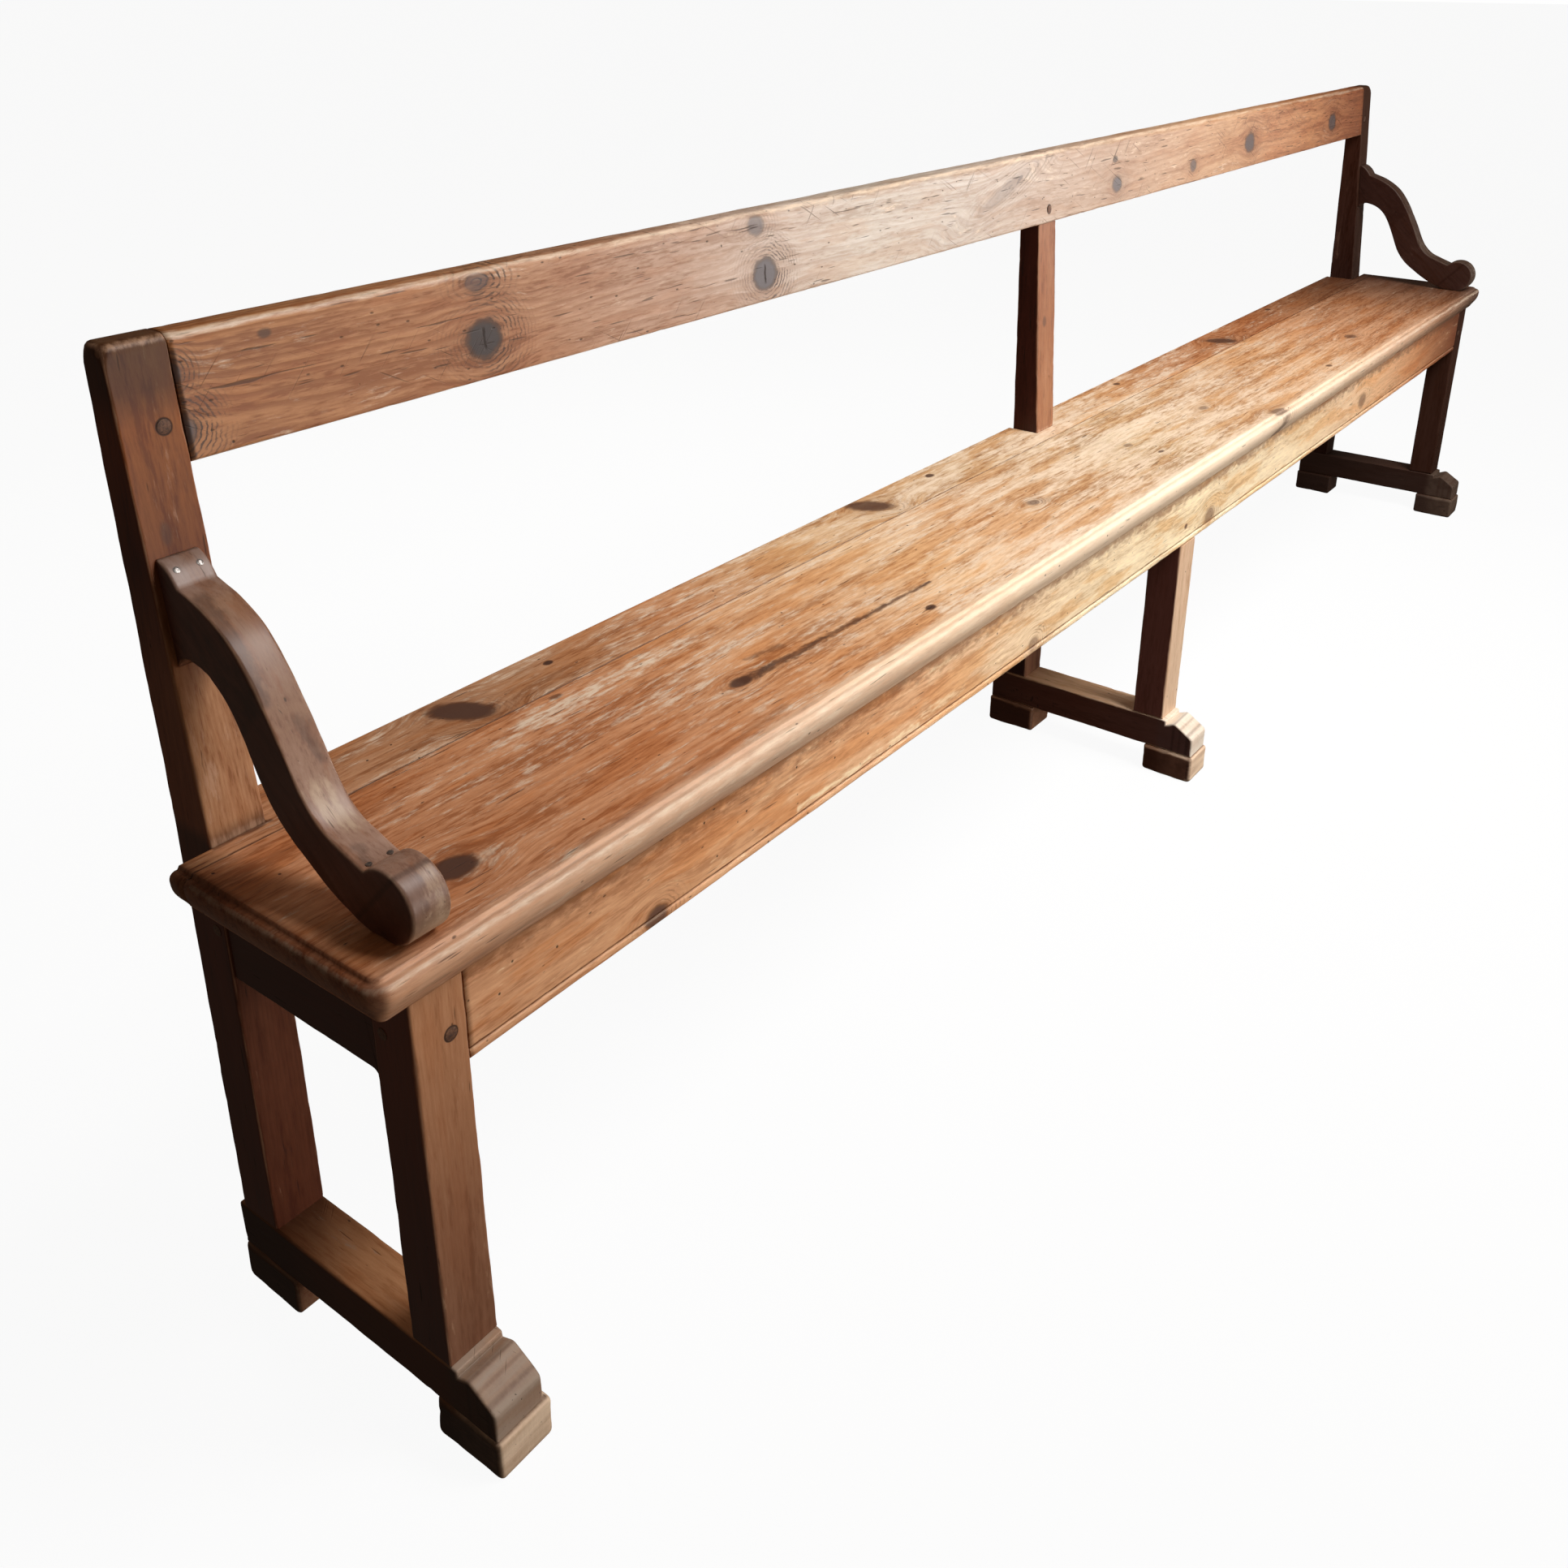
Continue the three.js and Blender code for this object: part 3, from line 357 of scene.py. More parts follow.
def mitres(corners: np.ndarray) -> tuple[np.ndarray, np.ndarray]:
    """How each corner of a closed outline moves when all its sides move inwards by one unit.

    The move is (m + n) / (1 + m . n), where m and n are the inward normals of the two sides. The room at a
    corner is how far the shorter side beside it can move before it vanishes, which takes its length over
    the sum of the tangents of half the turns at its ends. Moves and turns are held back at very sharp
    corners.

    Args:
        corners: the outline, (n, 2).

    Returns:
        The move of each corner and its room.
    """
    least_opening, sharpest_turn, least_loss = 0.4, 2.6, 1e-3
    side = np.roll(corners, -1, axis=0) - corners
    length = np.linalg.norm(side, axis=1)
    ahead = side / length[:, None]
    y, z = corners[:, 0], corners[:, 1]
    around = np.sign((y * np.roll(z, -1) - np.roll(y, -1) * z).sum())
    normal = np.stack([-ahead[:, 1], ahead[:, 0]], -1) * around
    behind = np.roll(normal, 1, axis=0)
    cosine = (normal * behind).sum(axis=1)
    move = (normal + behind) / np.maximum(1 + cosine, least_opening)[:, None]
    back = np.roll(ahead, 1, axis=0)
    turn = around * np.arctan2(back[:, 0] * ahead[:, 1] - back[:, 1] * ahead[:, 0], cosine)
    closing = np.tan(np.clip(turn, -sharpest_turn, sharpest_turn) / 2)
    lost = np.maximum(closing + np.roll(closing, -1), least_loss)
    room = length / lost
    return move, np.minimum(room, np.roll(room, 1))


@dataclass(frozen=True)
class Edges:
    """How a slab's arrises are worn: the eases at its low and high face, their unevenness and the nicks."""

    eases: Ends = (2.2, 2.2)
    nick: float = 1.4
    seed: int = 1
    uneven: float = 0.3
    uneven_period: float = 170.0
    nick_spacing: float = 60.0
    nick_width: float = 3.0
    least: float = 0.5

    def at(self, run: np.ndarray) -> list[np.ndarray]:
        """The ease of the low and of the high face's arris at each distance along the outline."""
        both = []
        for offset, base in enumerate(self.eases):
            seed = self.seed * 17 + offset
            uneven = 1 + self.uneven * wander(run, seed, self.uneven_period)
            dents = self.nick * nicks(run, seed + 5, self.nick_spacing, self.nick_width)
            both.append(np.maximum(self.least, base * uneven + dents))
        return both


@dataclass
class Section:
    """A closed outline in (y, z), to be carried along x: its points, wear, distances, moves and rooms."""

    room_share: ClassVar[float] = 0.7
    guard_share: ClassVar[float] = 1.7

    points: np.ndarray
    worn: np.ndarray
    run: np.ndarray
    move: np.ndarray
    room: np.ndarray

    @classmethod
    def rounded(cls, corners: Sequence[Place], setbacks: Sequence[float], steps: int = 5) -> "Section":
        """A section from corners, each rounded back by its setback."""
        sharp = np.array(corners, float)
        outline, worn = eased(sharp, np.array(setbacks, float), steps)
        return cls._made(outline, worn, sharp)

    @classmethod
    def drawn(cls, outline: np.ndarray) -> "Section":
        """A section from a finished curve."""
        return cls._made(outline, np.zeros(len(outline)), outline)

    @classmethod
    def _made(cls, outline: np.ndarray, worn: np.ndarray, corners: np.ndarray) -> "Section":
        """Refines an outline and spreads its corners' moves and rooms over all points.

        They run in a straight line, by distance along the outline, from the middle of one corner's points
        to the middle of the next one's.

        Args:
            outline: the outline, with as many points for each corner, (n, 2).
            worn: the wear at each of its points.
            corners: the corners before they were rounded.

        Returns:
            The section.
        """
        points, values, run = refined(outline, worn, SECTION_STEP)
        length = np.linalg.norm(np.roll(outline, -1, axis=0) - outline, axis=1)
        places = np.concatenate([[0.0], np.cumsum(length)[:-1]])
        around = len(outline) // len(corners)
        middles = places.reshape(-1, around)[:, around // 2]
        move, room = mitres(corners)

        def spread(values: np.ndarray) -> np.ndarray:
            """One number per corner, spread by distance along the outline."""
            return np.interp(run, middles, values, period=length.sum())

        moves = np.stack([spread(move[:, 0]), spread(move[:, 1])], axis=-1)
        return cls(points, values, run, moves, cls.room_share * spread(room))

    def slab(self, span: Ends, low: np.ndarray, high: np.ndarray) -> Skin:
        """Carries the outline along x between two flat faces, whose arrises are rounded.

        Towards each face the outline's sides move inwards by e (1 - sin a) and along x by e (1 - cos a),
        with a from 90 degrees down to 0 at the face. e is the ease, held within the room at each point. A
        guard row a little further in keeps the flats flat.

        Args:
            span: the two faces' places on x.
            low: the ease at each point, at the low face.
            high: the ease at each point, at the high face.

        Returns:
            The slab's skin.
        """
        angle = np.linspace(0, math.pi / 2, 6)
        inset_share = np.append(1 - np.sin(angle), 0.0)[:, None]
        along_share = np.append(1 - np.cos(angle), self.guard_share)[:, None]
        row_wear = np.append(np.sin(2 * angle), 0.0)[:, None]
        halves, wears = [], []
        for wanted, face, direction in zip((low, high), span, (1, -1)):
            ease = np.minimum(wanted, self.room)
            moved = self.points[None] + (inset_share * ease[None])[..., None] * self.move[None]
            x = face + direction * along_share * ease[None]
            halves.append(np.concatenate([x[..., None], moved], -1))
            wear = np.maximum(row_wear, self.worn[None])
            wear[0] = 0
            wears.append(wear)
        rows = np.concatenate([halves[0], halves[1][::-1]])
        # Mask of the flanks, where the finish paints shade
        shaded_flank = np.broadcast_to(inset_share, wears[0].shape)
        return Skin(rows, np.concatenate([wears[0], wears[1][::-1]]), np.concatenate([shaded_flank, shaded_flank[::-1]]))


def worn_slab(section: Section, span: Ends, edges: Edges) -> Skin:
    """A slab with uneven arrises and nicks."""
    return section.slab(span, *edges.at(section.run))


def beam(corners: Sequence[Place], setbacks: Sequence[float], span: Ends, seed: int, nick: float) -> Skin:
    """A long timber: a section in (y, z) carried along x, its corners rounded more or less along the way.

    At each place on x every corner's setback is its own value times one plus a share of a wandering line,
    plus the depth of the nicks there.

    Args:
        corners: the section's corners in (y, z).
        setbacks: how far each corner is rounded back.
        span: the ends on x.
        seed: picks the unevenness.
        nick: depth of the deepest nick.

    Returns:
        The timber's skin.
    """
    uneven_share, uneven_period = 0.22, 330.0
    nick_spacing, nick_width = 55.0, 3.5
    x = np.linspace(span[0], span[1], int((span[1] - span[0]) / BEAM_STEP) + 1)
    columns = []
    for corner, setback in enumerate(setbacks):
        uneven = 1 + uneven_share * wander(x, seed + 3 * corner, uneven_period)
        columns.append(setback * uneven + nick * nicks(x, seed + 50 + corner, nick_spacing, nick_width))
    section = np.broadcast_to(np.array(corners, float), (len(x), len(columns), 2))
    outline, worn = eased(section, np.stack(columns, axis=-1))
    rows = np.concatenate([np.broadcast_to(x[:, None, None], (*outline.shape[:2], 1)), outline], -1)
    return Skin(rows, np.tile(worn, (len(x), 1)))


# Shader sums and recipes


Number = Union[float, "Sock"]
Inputs = Mapping[Union[str, int], Any]


class Noise(Enum):
    """The noises in use: clouds per metre along, across and into the timber, detail and roughness."""

    SWAY = ((1.6, 6.0, 6.0), 2.0, 0.5)
    CLOUD = ((3.0, 14.0, 14.0), 3.0, 0.55)
    BAND = ((2.6, 44.0, 44.0), 3.0, 0.55)
    STREAK = ((11.0, 150.0, 150.0), 4.0, 0.7)
    FIBRE = ((52.0, 380.0, 380.0), 3.0, 0.65)
    FLECK = ((36.0, 190.0, 190.0), 5.0, 0.7)
    BLOTCH = ((7.0, 42.0, 42.0), 5.0, 0.66)
    RAGGED = ((70.0, 140.0, 140.0), 3.0, 0.6)
    JAG = ((160.0, 160.0, 160.0), 2.0, 0.5)
    CHECK = ((24.0, 330.0, 330.0), 1.0, 0.5)
    SCRATCH = ((13.0, 430.0, 130.0), 0.0, 0.5)
    SCUFFED = ((5.0, 17.0, 9.0), 1.0, 0.5)
    STRIPE = ((75.0, 8.0, 75.0), 3.0, 0.55)
    PEG_CLOUD = ((420.0, 420.0, 420.0), 4.0, 0.6)
    PEG_FINE = ((1800.0, 1800.0, 1800.0), 2.0, 0.5)
    RUST = ((700.0, 700.0, 700.0), 4.0, 0.6)
    FLOOR = ((3.0, 3.0, 3.0), 3.0, 0.5)


class Cells(Enum):
    """The scattered points in use: how many there are per metre along, across and into the timber."""

    WORM = (70.0, 70.0, 70.0)
    TICK = (60.0, 130.0, 90.0)


def sums(operation: str, turned: bool = False) -> Callable[..., "Sock"]:
    """A method of Sock that adds a Math node.

    Args:
        operation: what the node works out.
        turned: whether the other term comes first.

    Returns:
        The method, which takes the other term if the operation has one.
    """
    def method(self: "Sock", *other: Number) -> "Sock":
        """Adds the node for self and the other term."""
        terms = (*other, self) if turned else (self, *other)
        return self.recipe.sum(operation, *terms)

    return method


class Sock:
    """One output of a material's nodes. Sums on it add the Math nodes that work them out.

    fraction is what is left over the whole number below, root is the square root, wave is the sine in
    radians, and least and most are the smaller and the larger of two terms.
    """

    __add__ = __radd__ = sums("ADD")
    __sub__ = sums("SUBTRACT")
    __rsub__ = sums("SUBTRACT", turned=True)
    __mul__ = __rmul__ = sums("MULTIPLY")
    __truediv__ = sums("DIVIDE")
    __pow__ = sums("POWER")
    __abs__ = sums("ABSOLUTE")
    fraction = sums("FRACT")
    root = sums("SQRT")
    wave = sums("SINE")
    least = sums("MINIMUM")
    most = sums("MAXIMUM")

    def __init__(self, recipe: "Recipe", link: bpy.types.NodeSocket) -> None:
        """Keeps the recipe that the output belongs to."""
        self.recipe = recipe
        self.link = link

    def rise(self, low: float, high: float) -> "Sock":
        """0 up to low and 1 from high, smooth between them. With high below low it falls instead."""
        node = self.recipe.node(
            "ShaderNodeMapRange",
            {"interpolation_type": "SMOOTHSTEP"},
            {"Value": self, "From Min": min(low, high), "From Max": max(low, high),
             "To Min": float(low > high), "To Max": float(low <= high)},
        )
        return self.recipe.out(node)


class Recipe:
    """Writes the nodes of one material."""

    def __init__(self, name: str) -> None:
        """Starts an empty material with its output node."""
        self.material = bpy.data.materials.new(name)
        self.material.use_nodes = True
        self.tree = self.material.node_tree
        self.tree.nodes.clear()
        self.output = self.tree.nodes.new("ShaderNodeOutputMaterial")

    def node(self, kind: str, settings: Mapping[str, Any], inputs: Inputs) -> bpy.types.Node:
        """Adds any node.

        Args:
            kind: the node's type.
            settings: its settings, set first. "stops" is a colour ramp's list of (place, colour).
            inputs: the value or the link of each socket that is set.

        Returns:
            The node.
        """
        node = self.tree.nodes.new(kind)
        for key, value in settings.items():
            if key == "stops":
                self._fill_ramp(node.color_ramp, value)
            else:
                setattr(node, key, value)
        for key, value in inputs.items():
            if isinstance(value, Sock):
                self.tree.links.new(value.link, node.inputs[key])
            else:
                node.inputs[key].default_value = value
        return node

    @staticmethod
    def _fill_ramp(ramp: bpy.types.ColorRamp, stops: Sequence[tuple[float, Colour]]) -> None:
        """Gives a colour ramp its stops."""
        while len(ramp.elements) < len(stops):
            ramp.elements.new(0.5)
        for element, (place, colour) in zip(ramp.elements, stops):
            element.position = place
            element.color = (*colour, 1.0)

    def out(self, node: bpy.types.Node, which: Union[str, int] = 0) -> Sock:
        """One output of a node."""
        return Sock(self, node.outputs[which])

    def sum(self, operation: str, *terms: Number) -> Sock:
        """One Math node."""
        return self.out(self.node("ShaderNodeMath", {"operation": operation}, dict(enumerate(terms))))

    def mix(self, share: Number, first: Any, second: Any, blend: str = "MIX") -> Sock:
        """Mixes two colours.

        Args:
            share: how much of the second colour there is, from 0 to 1.
            first: a colour, or the link that brings it.
            second: a colour, or the link that brings it.
            blend: the kind of mix.

        Returns:
            The mixed colour.
        """
        colours = [value if isinstance(value, Sock) else (*value, 1.0) for value in (first, second)]
        settings = {"data_type": "RGBA", "blend_type": blend, "clamp_factor": True}
        return self.out(self.node("ShaderNodeMix", settings, {0: share, 6: colours[0], 7: colours[1]}), 2)

    def object_place(self) -> Sock:
        """The place in the object's own coordinates, in metres."""
        return self.out(self.node("ShaderNodeTexCoord", {}, {}), "Object")

    def axes(self, place: Sock) -> tuple[Sock, Sock, Sock]:
        """The three coordinates of a place."""
        node = self.node("ShaderNodeSeparateXYZ", {}, {0: place})
        return self.out(node, 0), self.out(node, 1), self.out(node, 2)

    def joined(self, *coordinates: Sock) -> Sock:
        """The place that has these three coordinates."""
        return self.out(self.node("ShaderNodeCombineXYZ", {}, dict(enumerate(coordinates))))

    def mapped(self, place: Sock, kind: str, changes: Mapping[str, Any]) -> Sock:
        """A place moved, turned and scaled by a Mapping node of one kind."""
        return self.out(self.node("ShaderNodeMapping", {"vector_type": kind}, {"Vector": place, **changes}))

    def stretched(self, place: Sock, scales: Scales) -> Sock:
        """A place with each of its coordinates multiplied."""
        return self.out(self.node("ShaderNodeVectorMath", {"operation": "MULTIPLY"}, {0: place, 1: scales}))

    def noise(self, place: Sock, kind: Noise) -> Sock:
        """Cloudy noise from 0 to 1."""
        scales, detail, roughness = kind.value
        vector = self.stretched(place, scales)
        inputs = {"Vector": vector, "Scale": 1.0, "Detail": detail, "Roughness": roughness}
        return self.out(self.node("ShaderNodeTexNoise", {"noise_dimensions": "3D"}, inputs))

    def cells(self, place: Sock, kind: Cells) -> tuple[Sock, Sock]:
        """Distance to the nearest of scattered points, and a random number for that point."""
        vector = self.stretched(place, kind.value)
        inputs = {"Vector": vector, "Scale": 1.0}
        node = self.node("ShaderNodeTexVoronoi", {"voronoi_dimensions": "3D"}, inputs)
        split = self.node("ShaderNodeSeparateColor", {}, {0: self.out(node, "Color")})
        return self.out(node, "Distance"), self.out(split)

    def bump(self, height: Number, strength: float, distance: float) -> Sock:
        """The surface's direction, with a height that is seen but not built. The distance is in metres."""
        inputs = {"Strength": strength, "Distance": distance, "Height": height}
        return self.out(self.node("ShaderNodeBump", {}, inputs))

    def made_of(self, kind: str, inputs: Inputs) -> bpy.types.Material:
        """Ends the material with its shader node, and gives it back."""
        shader = self.node(kind, {}, inputs)
        self.tree.links.new(shader.outputs[0], self.output.inputs[0])
        return self.material


# Sawn pine


class Grain(Enum):
    """Which way a timber was sawn: its length, its shown width and its depth, as axes of the part's frame."""

    LONG_FLAT = "XYZ"
    LONG_UPRIGHT = "XZY"
    POST = "ZXY"
    CROSS = "YXZ"


@dataclass(frozen=True)
class Knot:
    """A branch sawn through, at a place on the shown face, in millimetres.

    u is along the grain and v is across it. stretch is its length over its width. rings is how clearly the
    wood round it shows rings, strength is how dark it is and heart is how pale its middle is. A tilted
    knot's long axis is turned by that many degrees, and a split knot has a crack across it.
    """

    u: float
    v: float
    radius: float
    stretch: float = 1.25
    rings: float = 0.5
    strength: float = 1.0
    heart: float = 0.5
    tilt: float = 0.0
    split: bool = False


@dataclass(frozen=True)
class Streak:
    """A long streak between two places on the shown face, with its half width at each end.

    Dark ones are stains, and some are painted shade in creases and under overhangs. A pale one is dust, or
    wood that has lost its finish.
    """

    start: Place
    end: Place
    widths: Ends
    strength: float = 1.0
    pale: bool = False

    def moved(self, across: float) -> "Streak":
        """The same streak, moved across the grain."""
        (u0, v0), (u1, v1) = self.start, self.end
        return replace(self, start=(u0, across + v0), end=(u1, across + v1))


@dataclass(frozen=True)
class Peg:
    """The dark gap round a peg's head on the shown face."""

    u: float
    v: float
    radius: float = 5.6


@dataclass(frozen=True)
class Marks:
    """What shows on a timber's face."""

    knots: tuple[Knot, ...] = ()
    streaks: tuple[Streak, ...] = ()
    pegs: tuple[Peg, ...] = ()


Stops = tuple[tuple[float, float], ...]
Tints = tuple[tuple[float, Colour], ...]
NO_CHANGE = (1.0, 1.0, 1.0)


def shades(*stops: tuple[float, int, int, int]) -> Tints:
    """Colours along the grain, each given as its place in metres and the colour as seen on a screen."""
    return tuple((place, tone(*seen)) for place, *seen in stops)


@dataclass(frozen=True)
class Pine:
    """One finish of old pine. Places are in metres, along the grain or across it.

    tints is the colour along the grain: the sound surface, and on some timbers painted light and shade too.
    deep and light multiply it in its darkest and its lightest streaks, blush in its ruddy blotches, whose
    share is mottle, and shaded_flank is painted shade that multiplies the timber's two flanks. A knot has
    its wood, its heart and its bark, whose colour also paints the dark streaks, and crack is the colour of
    the darkest marks.

    ring is the width of a year's ring in millimetres, ring_share is how dark the late wood is, and pith is
    the place across the grain and into the timber that the rings surround. turn tilts the grain. contrast
    is how strong the streaks are, and fade is its share along the grain.

    bare is the colour of wood whose finish has worn through, and bareness is how worn a timber is along its
    grain. band is the stretch across the grain that is rubbed and carries a painted highlight, and by how
    much, tips is such a stretch along it, and edge is how much the arrises are rubbed. ends is where the
    timber's ends begin, and how dark the painted shade on them is.

    worms, ticks, checks and scratches are how many of these marks there are. roughness, coat and gloss are
    the shine, and relief is the height of the grain.
    """

    name: str
    tints: Tints
    bare: Colour
    deep: Colour = (0.66, 0.54, 0.44)
    light: Colour = (1.16, 1.24, 1.32)
    blush: Colour = (0.92, 0.78, 0.66)
    mottle: float = 0.6
    shaded_flank: Colour = NO_CHANGE
    knot: Colour = tone(74, 48, 38)
    heart: Colour = tone(100, 70, 56)
    bark: Colour = tone(84, 52, 38)
    crack: Colour = tone(40, 26, 19)
    ring: float = 5.0
    ring_share: float = 0.3
    contrast: float = 1.0
    fade: Stops = ((-2.0, 1.0), (2.0, 1.0))
    bareness: Stops = ((-2.0, 0.05), (2.0, 0.05))
    band: Optional[tuple[float, float, float]] = None
    tips: Optional[Ends] = None
    ends: Optional[tuple[float, float]] = None
    worms: float = 0.2
    ticks: float = 0.2
    checks: float = 0.3
    scratches: float = 0.0
    edge: float = 0.5
    roughness: float = 0.5
    coat: float = 0.0
    gloss: float = 0.3
    relief: float = 0.4
    pith: Place = (0.02, 0.09)
    turn: float = 0.0

    def dress(self, pieces: Sequence[bpy.types.Object], grain: Grain, marks: Marks = Marks()) -> None:
        """Makes the material and puts it on pieces.

        Args:
            pieces: the objects that get the finish.
            grain: which way they were sawn.
            marks: what shows on them.
        """
        material = PineRecipe(self, grain).made(marks)
        for piece in pieces:
            piece.data.materials.clear()
            piece.data.materials.append(material)


@dataclass
class KnotMarks:
    """What the knots of a face add up to."""

    pull: Number = 0.0
    inside: Number = 0.0
    heart: Number = 0.0
    bark: Number = 0.0
    rings: Number = 0.0
    halo: Number = 0.0
    split: Number = 0.0


@dataclass(frozen=True)
class Figure:
    """A timber's grain: its noises, from streaks to blotches, its late wood and how light each place is."""

    streak: Sock
    fibre: Sock
    fleck: Sock
    blotch: Sock
    late: Sock
    level: Sock


class PineRecipe(Recipe):
    """The nodes of one pine material."""

    large_knot: float = 5.0
    through: float = 1000.0
    sway_across: float = 0.03
    sway_deep: float = 0.02

    def __init__(self, pine: Pine, grain: Grain) -> None:
        """Reads the object's coordinates and sorts them into along, across and deep."""
        super().__init__(pine.name)
        self.pine = pine
        turned = self.mapped(self.object_place(), "POINT", {"Rotation": (pine.turn, 0.0, 0.0)})
        axes = dict(zip("XYZ", self.axes(turned)))
        self.u, self.v, self.w = (axes[letter] for letter in grain.value)
        self.place = self.joined(self.u, self.v, self.w)
        self.ragged = self.noise(self.place, Noise.RAGGED)

    def along(self, stops: Tints) -> Sock:
        """A colour that runs from stop to stop along the grain."""
        start, end = stops[0][0], stops[-1][0]
        placed = [((place - start) / (end - start), colour) for place, colour in stops]
        share = (self.u - start) * (1.0 / (end - start))
        return self.out(self.node("ShaderNodeValToRGB", {"stops": placed}, {0: share}))

    def share_along(self, stops: Stops) -> Sock:
        """A share that runs from stop to stop along the grain."""
        return self.along(tuple((place, (share,) * 3) for place, share in stops))

    def attribute(self, name: str) -> Sock:
        """A value that the mesh keeps at its points."""
        return self.out(self.node("ShaderNodeAttribute", {"attribute_name": name}, {}), "Fac")

    def knotted(self, knots: Sequence[Knot]) -> KnotMarks:
        """Works out the knots.

        far is the distance from a knot's middle in its own radii, whatever the depth, and noise makes it
        ragged. Near a large knot the place across the grain is drawn to the knot's middle, so that the
        grain parts round it.

        Args:
            knots: the knots on the shown face.

        Returns:
            The knots' marks.
        """
        marks = KnotMarks()
        wobble = self.ragged * 0.5 + 0.75
        for knot in knots:
            radius = knot.radius * MM
            local = self.mapped(self.place, "TEXTURE", {
                "Location": (knot.u * MM, knot.v * MM, 0.0), "Rotation": (0.0, 0.0, math.radians(knot.tilt)),
                "Scale": (radius * knot.stretch, radius, self.through),
            })
            far = self.out(self.node("ShaderNodeVectorMath", {"operation": "LENGTH"}, {0: local}), "Value")
            rough = far * wobble
            marks.inside = (rough.rise(1.15, 0.82) * knot.strength).most(marks.inside)
            marks.bark = (rough.rise(1.5, 1.05) * knot.strength).most(marks.bark)
            if knot.radius > self.large_knot:
                marks.pull = (self.v - knot.v * MM) * far.rise(4.5, 0.4) * -0.7 + marks.pull
                marks.halo = (far.rise(3.6, 0.8) * knot.strength).most(marks.halo)
                marks.heart = (rough.rise(1.15, 0.8) * (knot.strength * knot.heart)).most(marks.heart)
            if knot.rings:
                marks.rings = self.ringed(knot, local, far).most(marks.rings)
            if knot.split:
                marks.split = self.cracked(knot).most(marks.split)
        return marks

    def ringed(self, knot: Knot, local: Sock, far: Sock) -> Sock:
        """The rings round a knot: the crests of a sine of the distance, clearest on the knot's right side."""
        right = self.axes(local)[0] / (far + 0.3)
        crest = ((far + self.ragged * 0.5) * (knot.radius * 1.7)).wave().rise(0.0, 0.9)
        shown = far.rise(4.2, 1.6) * (right.rise(-0.7, 0.8) * 0.6 + 0.4) * knot.rings
        return crest * shown

    def cracked(self, knot: Knot) -> Sock:
        """The crack of a split knot: a thin ragged line across the grain, which ends inside the knot."""
        radius = knot.radius * MM
        jag = self.noise(self.place, Noise.JAG) * 0.004 - 0.002
        thin = abs(self.u - knot.u * MM + jag).rise(0.0019, 0.0007)
        return thin * abs(self.v - knot.v * MM).rise(radius * 0.8, radius * 0.5)

    def streaked(self, streaks: Sequence[Streak], pale: bool) -> Number:
        """A mask of the long streaks, stains and painted shade alike: near the line from start to end,
        by the half width there.

        Args:
            streaks: the streaks on the shown face, stains and painted shade.
            pale: whether the pale ones or the dark ones are wanted.

        Returns:
            The mask, from 0 to 1.
        """
        mask: Number = 0.0
        for streak in (each for each in streaks if each.pale == pale):
            (u0, v0), (u1, v1) = (tuple(size * MM for size in end) for end in (streak.start, streak.end))
            length = (u1 - u0) ** 2 + (v1 - v0) ** 2
            du, dv = self.u - u0, self.v - v0
            share = ((du * (u1 - u0) + dv * (v1 - v0)) / length).least(1.0).most(0.0)
            width = share * ((streak.widths[1] - streak.widths[0]) * MM) + streak.widths[0] * MM
            ragged = (self.ragged - 0.5) * width * 3.0
            off = ((du - share * (u1 - u0)) ** 2.0 + (dv - share * (v1 - v0) + ragged) ** 2.0).root()
            mask = ((off / width).rise(1.5, 0.2) * streak.strength).most(mask)
        return mask

    def pegged(self, pegs: Sequence[Peg]) -> Number:
        """A mask of the gaps round pegs: where the distance to a peg's middle is close to its radius."""
        mask: Number = 0.0
        for peg in pegs:
            off = ((self.u - peg.u * MM) ** 2.0 + (self.v - peg.v * MM) ** 2.0).root()
            mask = abs(off - peg.radius * MM).rise(0.0014, 0.0004).most(mask)
        return mask

    def scratched(self, tilt: float) -> Sock:
        """Straight scratches one way: the peaks of noise drawn out along a line at an angle to the grain."""
        turned = self.mapped(self.place, "POINT", {"Rotation": (0.0, 0.0, math.radians(tilt))})
        return self.noise(turned, Noise.SCRATCH).rise(0.74, 0.8)

    def pits(self) -> Number:
        """A mask of worm holes, nicks, hairline checks and scratches.

        Worm holes and nicks are the middles of scattered cells. Checks are the peaks of noise drawn out
        along the grain.

        Returns:
            The mask, from 0 to 1.
        """
        pine = self.pine
        start = 0.75 - 0.09 * pine.checks
        mask = self.noise(self.place, Noise.CHECK).rise(start, start + 0.07) * 0.6
        if pine.worms:
            far, chance = self.cells(self.place, Cells.WORM)
            worm = far.rise(0.12, 0.05) * chance.rise(1.0 - 0.4 * pine.worms, 1.0 - 0.38 * pine.worms)
            mask = (worm * 0.85).most(mask)
        if pine.ticks:
            far, chance = self.cells(self.place, Cells.TICK)
            tick = far.rise(0.16, 0.05) * chance.rise(1.0 - 0.45 * pine.ticks, 1.0 - 0.42 * pine.ticks)
            mask = (tick * 0.7).most(mask)
        if pine.scratches:
            patch = self.noise(self.place, Noise.SCUFFED).rise(0.62 - 0.3 * pine.scratches, 0.7)
            both = self.scratched(28.0).most(self.scratched(-47.0))
            mask = (both * patch * 0.6).most(mask)
        return mask

